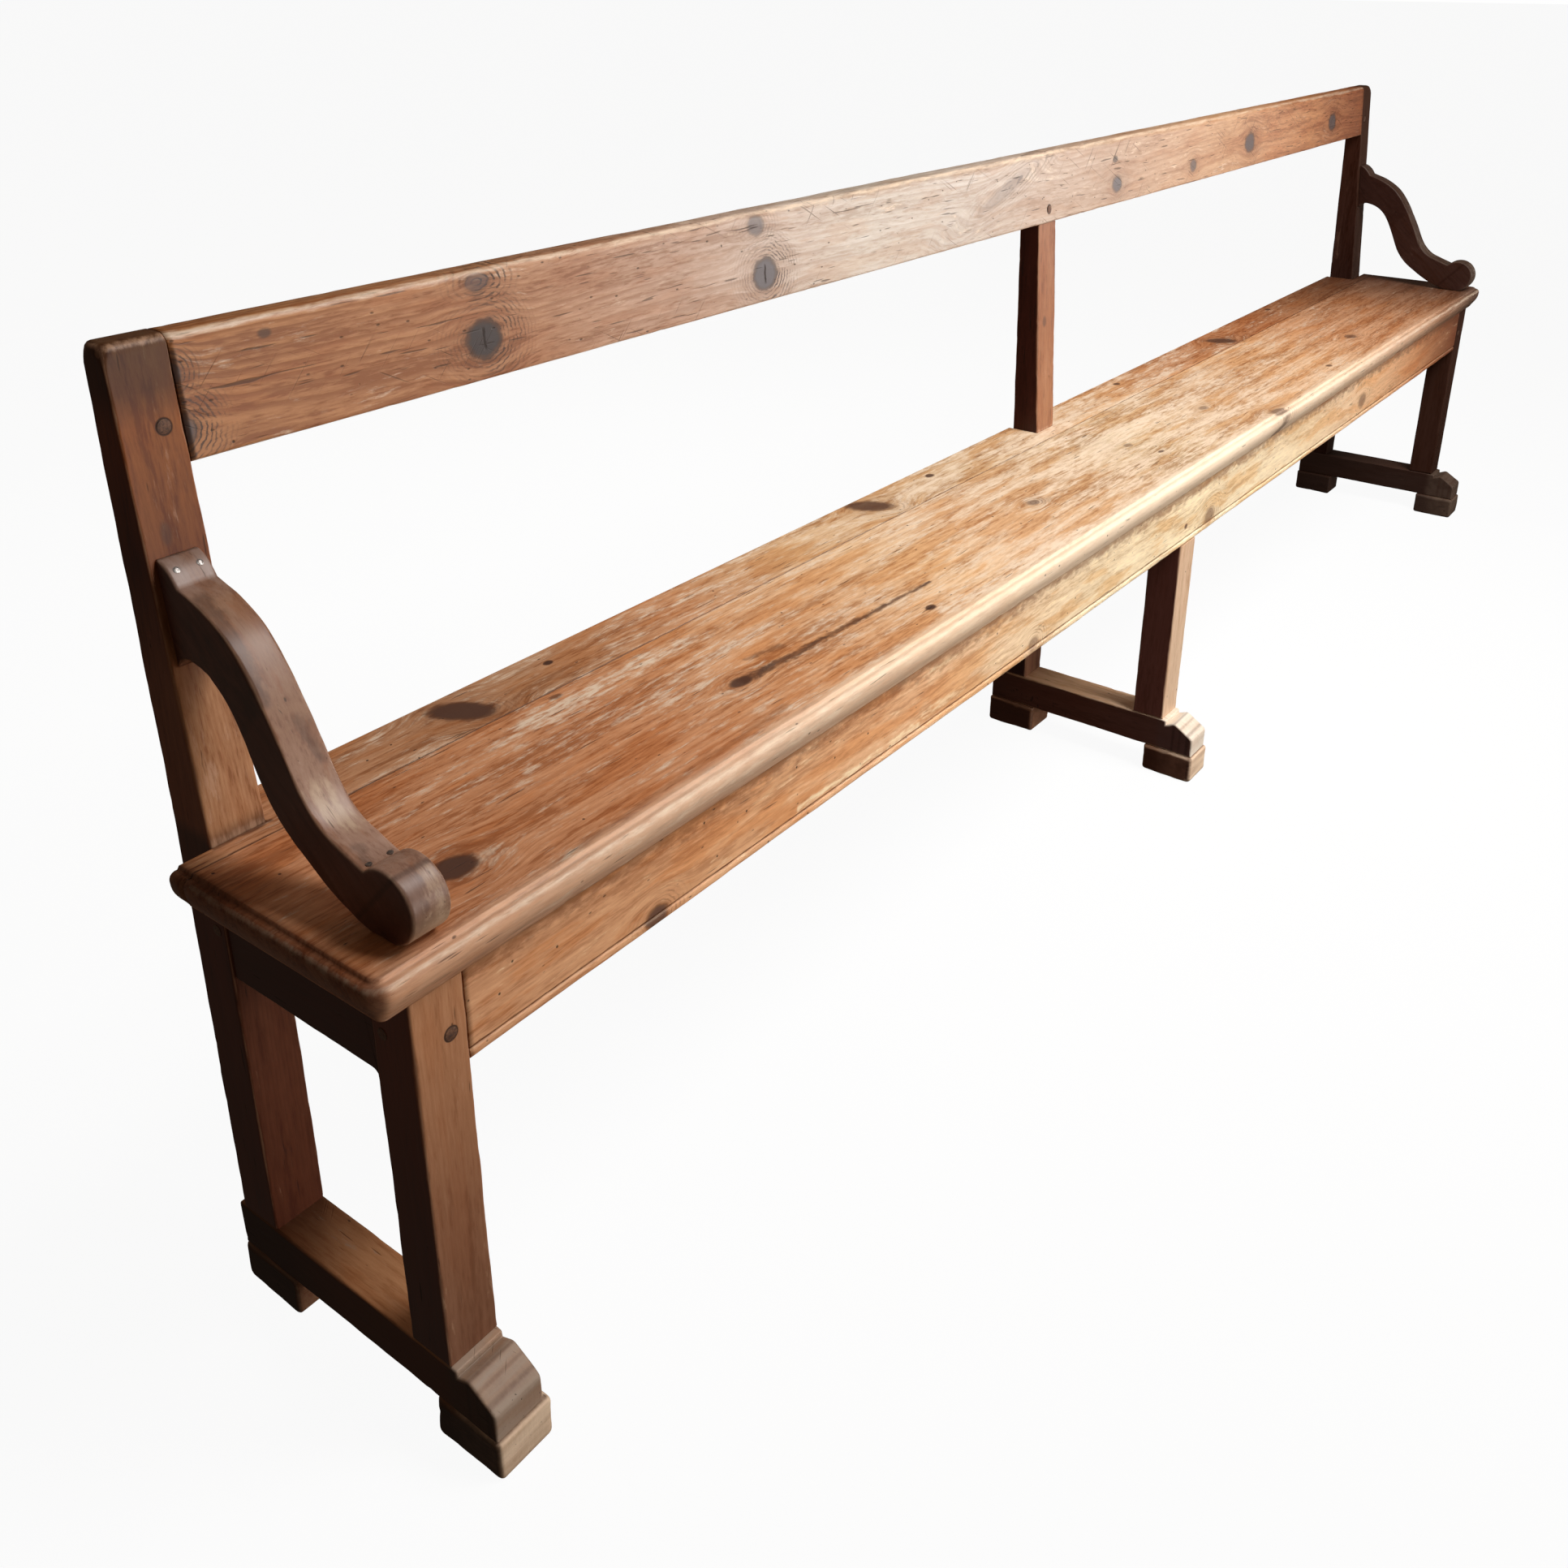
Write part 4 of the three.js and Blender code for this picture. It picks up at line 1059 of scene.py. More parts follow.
    def figure(self, pull: Number) -> Figure:
        """Works out the grain.

        The year's rings are circles round the pith: the fraction of their radius over the ring's width
        rises slowly through the early wood and drops at the end of the late wood. Bands, streaks and fibres
        are noise drawn out along the grain, each finer than the last, and their sum says how light a place
        is.

        Args:
            pull: how far the knots draw each place across the grain.

        Returns:
            The grain.
        """
        pine = self.pine
        sway = self.noise(self.place, Noise.SWAY)
        cloud = self.noise(self.place, Noise.CLOUD)
        swept = self.joined(self.u, self.v + pull + sway * self.sway_across, self.w + sway * self.sway_deep)
        band = self.noise(swept, Noise.BAND)
        streak = self.noise(swept, Noise.STREAK)
        fibre = self.noise(swept, Noise.FIBRE)
        _, v, w = self.axes(swept)
        across = v - (self.sway_across / 2 + pine.pith[0])
        deep = w - (self.sway_deep / 2 + pine.pith[1])
        years = ((across ** 2.0 + deep ** 2.0).root() + streak * 0.0016) / (pine.ring * MM)
        part = years.fraction()
        return Figure(
            streak=streak,
            fibre=fibre,
            fleck=self.noise(swept, Noise.FLECK),
            blotch=self.noise(swept, Noise.BLOTCH),
            late=part.rise(0.35, 0.88) * part.rise(1.0, 0.9) * cloud.rise(0.36, 0.6),
            level=band * 1.1 + streak * 1.3 + fibre * 1.2 - 1.8,
        )

    def sound(self, figure: Figure) -> Sock:
        """The colour of sound wood: the tint, darkened and lightened by the grain and ruddy in blotches."""
        pine, level = self.pine, figure.level
        strength = self.share_along(pine.fade) * pine.contrast
        dark = (level.rise(0.05, -0.38) * strength).most(figure.late * pine.ring_share * strength)
        colour = self.mix(dark, self.along(pine.tints), pine.deep, "MULTIPLY")
        colour = self.mix(level.rise(-0.02, 0.36) * strength, colour, pine.light, "MULTIPLY")
        return self.mix(figure.blotch.rise(0.49, 0.6) * pine.mottle, colour, pine.blush, "MULTIPLY")

    def bared(self, colour: Sock, figure: Figure) -> tuple[Sock, Sock]:
        """Wears the finish through in flecks, in a band that also carries a painted highlight, and at the
        tips.

        The flecks are where the fine noise stands above the blotches, and they come through sooner where
        the timber is worn. At the tips the wear is in stripes across the grain.

        Args:
            colour: the sound wood.
            figure: the grain.

        Returns:
            The colour, and the mask of the flecks.
        """
        pine, fleck = self.pine, figure.fleck
        worn = self.share_along(pine.bareness)
        bare = (fleck * 0.52 - figure.blotch * 0.48 + worn * 0.6).rise(0.11, 0.25)
        colour = self.mix(bare * 0.75, colour, pine.bare)
        # The band is rubbed wood with a painted highlight on it
        if pine.band:
            start, full, amount = pine.band
            band = self.v.rise(start, full) * (worn * 4.0 * amount).least(1.0) * (fleck * 0.9 + 0.45)
            colour = self.mix(band, colour, pine.bare)
        if pine.tips:
            stripes = self.noise(self.place, Noise.STRIPE).rise(0.32, 0.68)
            colour = self.mix(self.u.rise(*pine.tips) * (stripes * 0.5 + 0.42), colour, pine.bare)
        return colour, bare

    def with_knots(self, colour: Sock, marks: KnotMarks, fleck: Sock) -> Sock:
        """Lays the knots over a colour: their halo, rings, bark, wood and heart."""
        pine = self.pine
        colour = self.mix(marks.halo * 0.4, colour, pine.deep, "MULTIPLY")
        colour = self.mix(marks.rings * fleck.rise(0.36, 0.58), colour, pine.bark)
        colour = self.mix(marks.bark * 0.85, colour, pine.bark)
        colour = self.mix(marks.inside * (fleck * 0.8 + 0.5), colour, pine.knot)
        return self.mix(marks.heart * (fleck * 1.0 + 0.5), colour, pine.heart)

    def outskirts(self, colour: Sock, rubbed: Sock) -> Sock:
        """Rubs the arrises, and paints shade on the timber's ends and its flanks."""
        pine = self.pine
        colour = self.mix(rubbed, colour, pine.bare)
        # Painted shade on the timber's ends
        if pine.ends:
            limit, dimmed = pine.ends
            dim = (dimmed, dimmed * 0.85, dimmed * 0.8)
            colour = self.mix(abs(self.u).rise(limit, limit + 0.008), colour, dim, "MULTIPLY")
        # Painted shade on the flanks
        if pine.shaded_flank != NO_CHANGE:
            colour = self.mix(self.attribute("shaded_flank"), colour, pine.shaded_flank, "MULTIPLY")
        return colour

    def made(self, marks: Marks) -> bpy.types.Material:
        """Writes the whole material, from the sound wood to what shows on it and its surface."""
        pine = self.pine
        knots = self.knotted(marks.knots)
        figure = self.figure(knots.pull)
        fleck = figure.fleck
        colour, bare = self.bared(self.sound(figure), figure)
        if marks.knots:
            colour = self.with_knots(colour, knots, fleck)
        # Dark streaks: stains, and painted shade in creases and under overhangs
        stain_and_shade = self.streaked(marks.streaks, False)
        if marks.streaks:
            colour = self.mix(self.streaked(marks.streaks, True) * fleck.rise(0.36, 0.6), colour, pine.bare)
            colour = self.mix(stain_and_shade * (fleck * 0.9 + 0.35), colour, pine.bark)
        marked = self.pits().most(self.pegged(marks.pegs) * 0.9).most(knots.split)
        colour = self.mix(marked, colour, pine.crack)
        rubbed = (self.attribute("worn") * (figure.streak * 0.8 + fleck * 1.4)).rise(0.7, 1.35) * pine.edge
        colour = self.outskirts(colour, rubbed)

        rough = figure.fibre * 0.14 + (pine.roughness - 0.07) + bare * 0.08 + marked * 0.2 - rubbed * 0.05
        grain = figure.fibre * 0.3 + figure.streak * 0.25 - figure.late * 0.15
        height = grain - marked * 1.5 - bare * 0.3 + stain_and_shade * -0.5
        return self.made_of("ShaderNodeBsdfPrincipled", {
            "Base Color": colour, "Roughness": rough, "Normal": self.bump(height, pine.relief, 0.0008),
            "Coat Weight": pine.coat, "Coat Roughness": 0.32, "Specular IOR Level": pine.gloss,
        })


@dataclass(frozen=True)
class Finishes:
    """The bench's finishes."""

    seat: Pine = Pine(
        "seat_pine",
        # Darker towards both ends, most at the right: partly the wood's tone, partly painted shade
        tints=shades((-1.376, 196, 134, 94), (-1.17, 199, 138, 97), (-1, 197, 135, 93),
                     (-0.8, 211, 158, 115), (-0.55, 220, 180, 139), (-0.4, 215, 178, 143),
                     (-0.2, 205, 173, 140), (0, 209, 184, 151), (0.2, 206, 173, 139), (0.35, 208, 169, 132),
                     (0.6, 221, 177, 137), (0.8, 215, 160, 119), (1, 202, 146, 107), (1.15, 171, 121, 89),
                     (1.34, 104, 68, 52)), bare=tone(233, 210, 184), blush=(0.92, 0.78, 0.63), mottle=1,
        knot=tone(72, 46, 36), heart=tone(96, 66, 52), bark=tone(80, 48, 34), contrast=1.6,
        fade=((-1.4, 0.75), (-0.7, 0.75), (-0.3, 0.74), (0.3, 0.74), (0.7, 0.85), (0.95, 1), (1.35, 1)),
        # band is the rubbed nosing with a painted highlight; ends paints shade on the moulded ends
        bareness=((-1.4, 0.04), (-1.1, 0.12), (-0.9, 0.16), (-0.7, 0.16), (-0.3, 0.21), (0.1, 0.23),
                  (0.45, 0.17), (0.85, 0.11), (1.1, 0.04), (1.35, 0.02)), band=(-0.104, -0.121, 1.1),
        ends=(1.36, 0.42), worms=0.16, ticks=0.35, checks=0.5, edge=0.7, pith=(0.03, 0.36),
    )
    apron: Pine = Pine(
        "apron_pine",
        # Darker towards both ends, most at the right: partly the wood's tone, partly painted shade
        tints=shades((-1.3, 207, 151, 110), (-1, 217, 163, 119), (-0.7, 221, 172, 130),
                     (-0.55, 226, 194, 158), (-0.3, 221, 199, 164), (0, 224, 203, 167),
                     (0.2, 228, 208, 174), (0.4, 223, 195, 156), (0.6, 231, 196, 158),
                     (0.75, 240, 194, 149), (1, 218, 154, 106), (1.3, 138, 72, 37)),
        bare=tone(248, 224, 184), blush=(0.93, 0.78, 0.62), mottle=1, knot=tone(80, 54, 42),
        bark=tone(126, 74, 38), ring=9, contrast=0.8,
        bareness=((-1.3, 0.02), (-0.9, 0.1), (0, 0.16), (0.4, 0.13), (1, 0.02)), worms=0.9, ticks=0.3,
        edge=0.2, roughness=0.52, gloss=0.35, relief=0.3, pith=(0.36, -0.2),
    )
    rail: Pine = Pine(
        "rail_pine",
        # Greyer and paler in the middle: partly the wood's tone, partly a painted sheen
        tints=shades((-1.3, 172, 114, 68), (-1, 167, 117, 81), (-0.85, 171, 132, 106),
                     (-0.65, 177, 153, 136), (-0.45, 179, 165, 151), (-0.25, 176, 161, 148),
                     (-0.05, 170, 147, 129), (0.15, 167, 138, 115), (0.6, 193, 148, 110),
                     (0.8, 201, 147, 107), (1, 200, 138, 91), (1.29, 167, 98, 58)),
        bare=tone(226, 202, 176), knot=tone(50, 42, 39), heart=tone(112, 104, 108), bark=tone(60, 40, 31),
        ring=4.4, ring_share=0.6, contrast=1.7,
        fade=((-1.3, 0.9), (-0.95, 0.8), (-0.7, 0.5), (-0.3, 0.42), (0.3, 0.45), (0.8, 0.6), (1.1, 0.8),
              (1.3, 1)), bareness=((-1.3, 0.03), (0, 0.05), (0.5, 0.08), (1.2, 0.03)), worms=0.12,
        ticks=0.9, checks=0.9, scratches=0.7, edge=0.8, roughness=0.44, coat=0.06, gloss=0.4,
        pith=(0.74, 0.03),
    )
    post: Pine = Pine(
        "post_pine",
        tints=shades((0.08, 98, 50, 30), (0.42, 112, 62, 38), (0.462, 110, 78, 56), (0.474, 163, 115, 78),
                     (0.58, 159, 111, 74), (0.68, 113, 61, 30), (0.775, 140, 80, 36), (0.8, 97, 56, 28),
                     (0.835, 91, 58, 33)), bare=tone(186, 146, 116), mottle=0.4, shaded_flank=(0.62, 0.42, 0.4),
        bark=tone(92, 58, 40), ring=4, contrast=1.15,
        bareness=((0.08, 0), (0.46, 0.02), (0.5, 0.12), (0.6, 0.03), (0.84, 0.04)), worms=0.04, ticks=0.1,
        checks=0.5, edge=0.7, coat=0.04, relief=0.25, pith=(0.03, 0.12),
    )
    leg: Pine = Pine(
        "leg_pine", tints=shades((0.08, 116, 76, 54), (0.22, 142, 96, 68), (0.42, 178, 124, 86)),
        bare=tone(190, 150, 120), mottle=0.4, shaded_flank=(0.36, 0.18, 0.16), bark=tone(92, 58, 40), ring=4,
        ring_share=0.2, contrast=0.7, bareness=((0.08, 0), (0.42, 0.03)), worms=0.04, ticks=0.1, edge=0.6,
        coat=0.04, gloss=0.35, relief=0.25, pith=(0.03, 0.12),
    )
    foot: Pine = Pine(
        "foot_pine",
        tints=shades((-0.17, 130, 98, 76), (-0.105, 182, 130, 90), (0.02, 178, 124, 84), (0.1, 128, 84, 56),
                     (0.17, 120, 80, 54)), bare=tone(157, 139, 123), shaded_flank=(0.155, 0.09, 0.065),
        contrast=0.6, bareness=((-0.17, 0.04), (-0.105, 0), (0.17, 0)), tips=(-0.1, -0.115), worms=0.06,
        ticks=0.15, scratches=0.3, edge=0.12, roughness=0.58, relief=0.35, pith=(0.02, 0.02),
    )
    pad: Pine = Pine(
        "pad_pine", tints=shades((-0.17, 170, 134, 104), (-0.1, 150, 108, 80), (0.17, 140, 98, 72)),
        bare=tone(232, 206, 178), shaded_flank=(0.2, 0.16, 0.15), contrast=0.6,
        bareness=((-0.17, 0.06), (-0.1, 0), (0.17, 0)), tips=(-0.1, -0.14), worms=0.1, ticks=0.3,
        scratches=0.3, edge=0.15, roughness=0.6, pith=(0.02, 0.02),
    )
    arm: Pine = Pine(
        "arm_pine",
        # Paler and greyer near the scroll and at the shoulder: partly the wood's tone, partly a painted sheen
        tints=shades((0.235, 118, 80, 59), (0.3, 163, 127, 107), (0.4, 139, 100, 75), (0.5, 146, 108, 83),
                     (0.525, 140, 112, 98), (0.55, 132, 106, 92)), bare=tone(192, 164, 136),
        deep=(0.62, 0.5, 0.44), mottle=1, shaded_flank=(0.44, 0.29, 0.31), bark=tone(68, 43, 33), ring=4,
        contrast=0.7, bareness=((0.2, 0.1), (0.26, 0), (0.6, 0.02)), tips=(0.244, 0.222), worms=0.02,
        ticks=0.1, checks=0.2, scratches=0.3, edge=0.36, roughness=0.46, coat=0.1, gloss=0.5, relief=0.15,
        pith=(0.03, 0.2), turn=math.radians(-42),
    )


# Sub-assemblies


@dataclass
class SideFrame:
    """A sledge-footed frame: leg, post, foot rail, two pads and the bearer under the seat.

    A corner of the toe is a share of its reach, a share of the foot rail's height and its rounding. A dirty
    line on the toe is a place, a half width and a strength. A line of painted shade in a pad's crease is a
    place and a half width.
    """

    name: str
    side: int
    seed: int
    pad_length: float = 72.0
    pad_heel_proud: float = 1.0
    pad_outer_proud: float = 1.5
    pad_inner_proud: float = 6.0
    pad_round: float = 5.0
    pad_top_rounds: tuple[Ends, Ends] = ((2.0, 4.2), (2.2, 2.0))
    stile_reveal: float = 2.0
    stile_round: float = 8.0
    bend_round: float = 12.0
    bearer_height: float = 81.5
    bearer_thickness: float = 32.0
    bearer_reveal: float = 2.0
    bearer_round: float = 9.5
    bearer_lip: float = 1.5
    bearer_lip_round: float = 0.3
    foot_rounds: tuple[float, float, float] = (1.0, 1.2, 1.6)
    toe: tuple[tuple[float, float, float], ...] = (
        (0.0, 1.0, 0.6), (0.12, 0.985, 1.0), (0.13, 0.86, 0.8), (0.24, 0.905, 1.8), (0.35, 0.957, 2.4),
        (0.44, 0.952, 2.4), (0.53, 0.895, 2.4), (0.93, 0.64, 1.6), (0.985, 0.59, 1.6), (1.0, 0.51, 1.2),
    )
    top_wear: float = 4.0
    top_wear_height: float = 16.0
    leg_edges: Edges = Edges((2.4, 2.4), 1.4, 1)
    post_edges: Edges = Edges((2.4, 2.4), 1.4, 2)
    stile_edges: Edges = Edges((2.6, 2.2), 1.4, 2)
    foot_edges: Edges = Edges((2.2, 2.2), 2.0, 3)
    pad_edges: Edges = Edges((4.2, 4.6), 2.4, 4)
    bearer_edges: Edges = Edges((1.6, 1.6), 1.0, 6)
    peg_inset: float = 15.0
    upper_peg_height: float = 772.5
    lower_peg_height: float = 377.0
    post_knots: tuple[Knot, ...] = (
        Knot(700, -1322, 3.5, 2.2, 0, 0.4), Knot(612, -26, 4, 1.6, 0, 0.5),
    )
    toe_lines: tuple[tuple[float, float, float], ...] = (
        (-130.0, 2.2, 0.45), (-140.0, 1.7, 0.35), (-151.0, 2.4, 0.5),
    )
    toe_line_taper: float = 0.8
    ledge_line: Place = (-157.5, 2.6)
    flank_line: Place = (160.0, 1.6)
    pad_crease_shade: float = 0.8

    @property
    def span(self) -> Ends:
        """The frame's two faces on x."""
        half = LAYOUT.half_span
        if self.side < 0:
            return -half, -half + LAYOUT.timber
        if self.side > 0:
            return half - LAYOUT.timber, half
        return LAYOUT.middle_offset - LAYOUT.timber / 2, LAYOUT.middle_offset + LAYOUT.timber / 2

    def _worn(self, edges: Edges, offset: int = 0) -> Edges:
        """The wear of a timber's arrises, drawn anew for this frame."""
        return replace(edges, seed=self.seed * 10 + edges.seed + offset)

    def _add(self, skin: Skin, node: str, slot: str) -> bpy.types.Object:
        """Makes a piece of this frame."""
        return skin.piece(f"{self.name}_{node}_timber", f"{self.name}_{node}", slot)

    def _pegs(self, height: float) -> tuple[Peg, ...]:
        """The peg that shows near an end frame's inner face. The middle frame has none."""
        inner = self.span[1] - self.peg_inset if self.side < 0 else self.span[0] + self.peg_inset
        return (Peg(height, inner),) if self.side else ()

    def build(self) -> None:
        """Builds the frame's timbers and dresses them."""
        finishes = self.finishes()
        upper, lower = self._pegs(self.upper_peg_height), self._pegs(self.lower_peg_height)
        finishes.post.dress([self.post()], Grain.POST, Marks(self.post_knots, pegs=upper))
        finishes.leg.dress([self.leg()], Grain.POST, Marks(pegs=lower))
        bearer_tints = shades((-0.1, 120, 78, 54), (0.12, 110, 70, 48))
        replace(finishes.leg, name="bearer_pine", tints=bearer_tints).dress([self.bearer()], Grain.CROSS)
        low, high = self.span
        toe_lines = (Streak((y, low), (y, high), (width, width * self.toe_line_taper), strength)
                     for y, width, strength in self.toe_lines)
        finishes.foot.dress([self.foot_rail()], Grain.CROSS, Marks(streaks=tuple(toe_lines)))
        # Lines of painted shade in the creases where the foot rail meets the pads
        (ledge, ledge_width), (reach, flank_width) = self.ledge_line, self.flank_line
        ledge_low, ledge_high = low - self.pad_outer_proud, high + self.pad_outer_proud
        pad_lines = (
            Streak((ledge, ledge_low), (ledge, ledge_high), (ledge_width, ledge_width), self.pad_crease_shade),
            Streak((-reach, low - 1), (reach, low - 1), (flank_width, flank_width), self.pad_crease_shade),
        )
        finishes.pad.dress(self.pads(), Grain.CROSS, Marks(streaks=pad_lines))

    def leg(self) -> bpy.types.Object:
        """The front leg. The middle one is notched for the apron."""
        low, high = LAYOUT.foot_top + LAYOUT.fit, LAYOUT.seat_underside - LAYOUT.fit
        depth = LAYOUT.leg_depth
        corners = [(0.0, low), (depth, low), (depth, high), (0.0, high)]
        if self.side == 0:
            notch = LAYOUT.apron_bottom - LAYOUT.fit
            back = LAYOUT.apron_thickness + LAYOUT.fit
            corners = [(0.0, low), (depth, low), (depth, high), (back, high), (back, notch), (0.0, notch)]
        section = Section.rounded(corners, [LAYOUT.sharp] * len(corners))
        skin = worn_slab(section, self.span, self._worn(self.leg_edges))
        return self._add(skin, "front_leg", "umber_pine")

    def post(self) -> bpy.types.Object:
        """The back post, raked above the seat, whose top is worn on its outer face."""
        if self.side == 0:
            return self._add(self.stile(), "back_post", "umber_pine")
        low, seat, top = LAYOUT.foot_top + LAYOUT.fit, LAYOUT.seat_height, LAYOUT.back_height
        front, rear = LAYOUT.post_front, LAYOUT.depth
        corners = [
            (front, low), (rear, low), (rear, seat), (LAYOUT.post_rear_at(top - LAYOUT.top_rear_round), top),
            (LAYOUT.post_front_at(top), top), (front, seat),
        ]
        sharp, bend = LAYOUT.sharp, self.bend_round
        setbacks = [sharp, sharp, bend, LAYOUT.top_rear_round, LAYOUT.top_front_round, bend]
        section = Section.rounded(corners, setbacks, steps=9)
        eases = self._worn(self.post_edges).at(section.run)
        height = section.points[:, 1] - (top - self.top_wear_height)
        near_top = np.clip(height / self.top_wear_height, 0, 1)
        eases[0 if self.side < 0 else 1] += self.top_wear * near_top**2 * (3 - 2 * near_top)
        return self._add(section.slab(self.span, *eases), "back_post", "umber_pine")

    def stile(self) -> Skin:
        """The middle post, which steps back where it passes the seat and stops under the rail."""
        low, seat = LAYOUT.foot_top + LAYOUT.fit, LAYOUT.seat_height
        front, rear = LAYOUT.post_front, LAYOUT.depth
        end = LAYOUT.back_height - LAYOUT.rail_height - LAYOUT.fit
        under = LAYOUT.seat_underside - LAYOUT.fit
        stepped = front + LAYOUT.stile_setback
        corners = [
            (front, low), (rear, low), (rear, seat), (LAYOUT.post_rear_at(end), end),
            (LAYOUT.post_front_at(end) + self.stile_reveal, end), (stepped, seat), (stepped, under),
            (front, under),
        ]
        setbacks = [LAYOUT.sharp] * len(corners)
        setbacks[2], setbacks[5] = self.bend_round, self.stile_round
        return worn_slab(Section.rounded(corners, setbacks), self.span, self._worn(self.stile_edges))

    def foot_rail(self) -> bpy.types.Object:
        """The foot rail, with its moulded toe: a ledge, a step, a low hump, a slope and an upright nose."""
        low, top = LAYOUT.pad_height + LAYOUT.fit, LAYOUT.foot_top
        rear = LAYOUT.depth + LAYOUT.heel_reach
        corners = [(-LAYOUT.toe_reach, low), (rear, low), (rear, top)]
        setbacks = list(self.foot_rounds)
        for reach, height, setback in self.toe:
            corners.append((-reach * LAYOUT.toe_reach, LAYOUT.pad_height + height * LAYOUT.foot_rail_height))
            setbacks.append(setback)
        skin = worn_slab(Section.rounded(corners, setbacks), self.span, self._worn(self.foot_edges))
        return self._add(skin, "foot_rail", "foot_pine")

    def pads(self) -> list[bpy.types.Object]:
        """The two pads that the frame stands on, eased along their lower edges."""
        proud = {
            -1: (self.pad_outer_proud, self.pad_inner_proud),
            0: ((self.pad_outer_proud + self.pad_inner_proud) / 2,) * 2,
            1: (self.pad_inner_proud, self.pad_outer_proud),
        }[self.side]
        span = (self.span[0] - proud[0], self.span[1] + proud[1])
        front = -LAYOUT.toe_reach - LAYOUT.pad_toe_proud
        rear = LAYOUT.depth + LAYOUT.heel_reach + self.pad_heel_proud
        pieces = []
        for offset, (node, start) in enumerate((("front", front), ("rear", rear - self.pad_length))):
            end, top = start + self.pad_length, LAYOUT.pad_height
            corners = [(start, 0.0), (end, 0.0), (end, top), (start, top)]
            section = Section.rounded(corners, [self.pad_round, self.pad_round, *self.pad_top_rounds[offset]])
            skin = worn_slab(section, span, self._worn(self.pad_edges, offset))
            pieces.append(self._add(skin, f"{node}_foot_pad", "foot_pine"))
        return pieces

    def bearer(self) -> bpy.types.Object:
        """The bearer from leg to post, whose lower edge sweeps down into the leg."""
        low, high = self.span
        if self.side < 0:
            span = (low + self.bearer_reveal, low + self.bearer_reveal + self.bearer_thickness)
        elif self.side > 0:
            span = (high - self.bearer_reveal - self.bearer_thickness, high - self.bearer_reveal)
        else:
            span = ((low + high - self.bearer_thickness) / 2, (low + high + self.bearer_thickness) / 2)
        front, rear = LAYOUT.leg_depth + LAYOUT.fit, LAYOUT.post_front - LAYOUT.fit
        top, bottom = LAYOUT.seat_underside - LAYOUT.fit, LAYOUT.seat_underside - self.bearer_height
        lip, lip_end = bottom - self.bearer_round, front + self.bearer_lip
        corners = [(front, lip), (lip_end, lip), (lip_end, bottom), (rear, bottom), (rear, top), (front, top)]
        setbacks = [self.bearer_lip_round] * 2 + [self.bearer_round] + [LAYOUT.sharp] * 3
        skin = worn_slab(Section.rounded(corners, setbacks), span, self._worn(self.bearer_edges))
        return self._add(skin, "seat_bearer", "umber_pine")

    def finishes(self) -> Finishes:
        """The finishes of this frame. The middle one is paler below the seat, and the right one is darker,
        partly by painted shade.
        """
        changes = {-1: {}, 0: self.middle_changes(), 1: self.right_changes()}[self.side]
        usual = Finishes()
        return replace(usual, **{
            timber: replace(getattr(usual, timber), name=f"{self.name}_{timber}_pine", **values)
            for timber, values in changes.items()
        })

    @staticmethod
    def middle_changes() -> dict[str, dict[str, Any]]:
        """Paler below the seat, with dark flanks."""
        return {
            "post": {"shaded_flank": (0.19, 0.085, 0.09),
                     "tints": shades((0.08, 120, 78, 54), (0.42, 130, 86, 60), (0.47, 140, 92, 60),
                                     (0.74, 140, 90, 60))},
            "leg": {"shaded_flank": (0.28, 0.13, 0.14),
                    "tints": shades((0.08, 206, 176, 148), (0.34, 200, 166, 136), (0.42, 170, 130, 100))},
            "foot": {"shaded_flank": (0.15, 0.075, 0.075), "edge": 0.3, "bare": tone(228, 220, 206),
                     "tints": shades((-0.17, 190, 162, 138), (-0.105, 228, 198, 170), (0.02, 226, 182, 142),
                                     (0.1, 216, 172, 134), (0.17, 170, 130, 100))},
            "pad": {"shaded_flank": (0.24, 0.14, 0.12)},
        }

    @staticmethod
    def right_changes() -> dict[str, dict[str, Any]]:
        """Dark all over, partly by painted shade, and dull."""
        dull = {"coat": 0.0, "edge": 0.15}
        low = {"shaded_flank": (0.6, 0.55, 0.55)}
        return {
            "post": {**dull, "gloss": 0.08, "shaded_flank": (0.8, 0.66, 0.66), "bare": tone(112, 88, 72),
                     "tints": shades((0.08, 60, 40, 33), (0.42, 60, 40, 33), (0.6, 70, 46, 36),
                                     (0.84, 80, 50, 36))},
            "leg": {**dull, "gloss": 0.04, "shaded_flank": (1.0, 0.95, 0.95), "bare": tone(104, 80, 64),
                    "tints": shades((0.08, 64, 40, 31), (0.42, 76, 48, 37))},
            "foot": {**low, "bare": tone(112, 92, 78),
                     "tints": shades((-0.17, 76, 55, 45), (-0.105, 74, 50, 40), (0.17, 70, 47, 38))},
            "pad": {**low, "bare": tone(116, 96, 80),
                    "tints": shades((-0.17, 84, 63, 52), (0.17, 70, 47, 38))},
        }


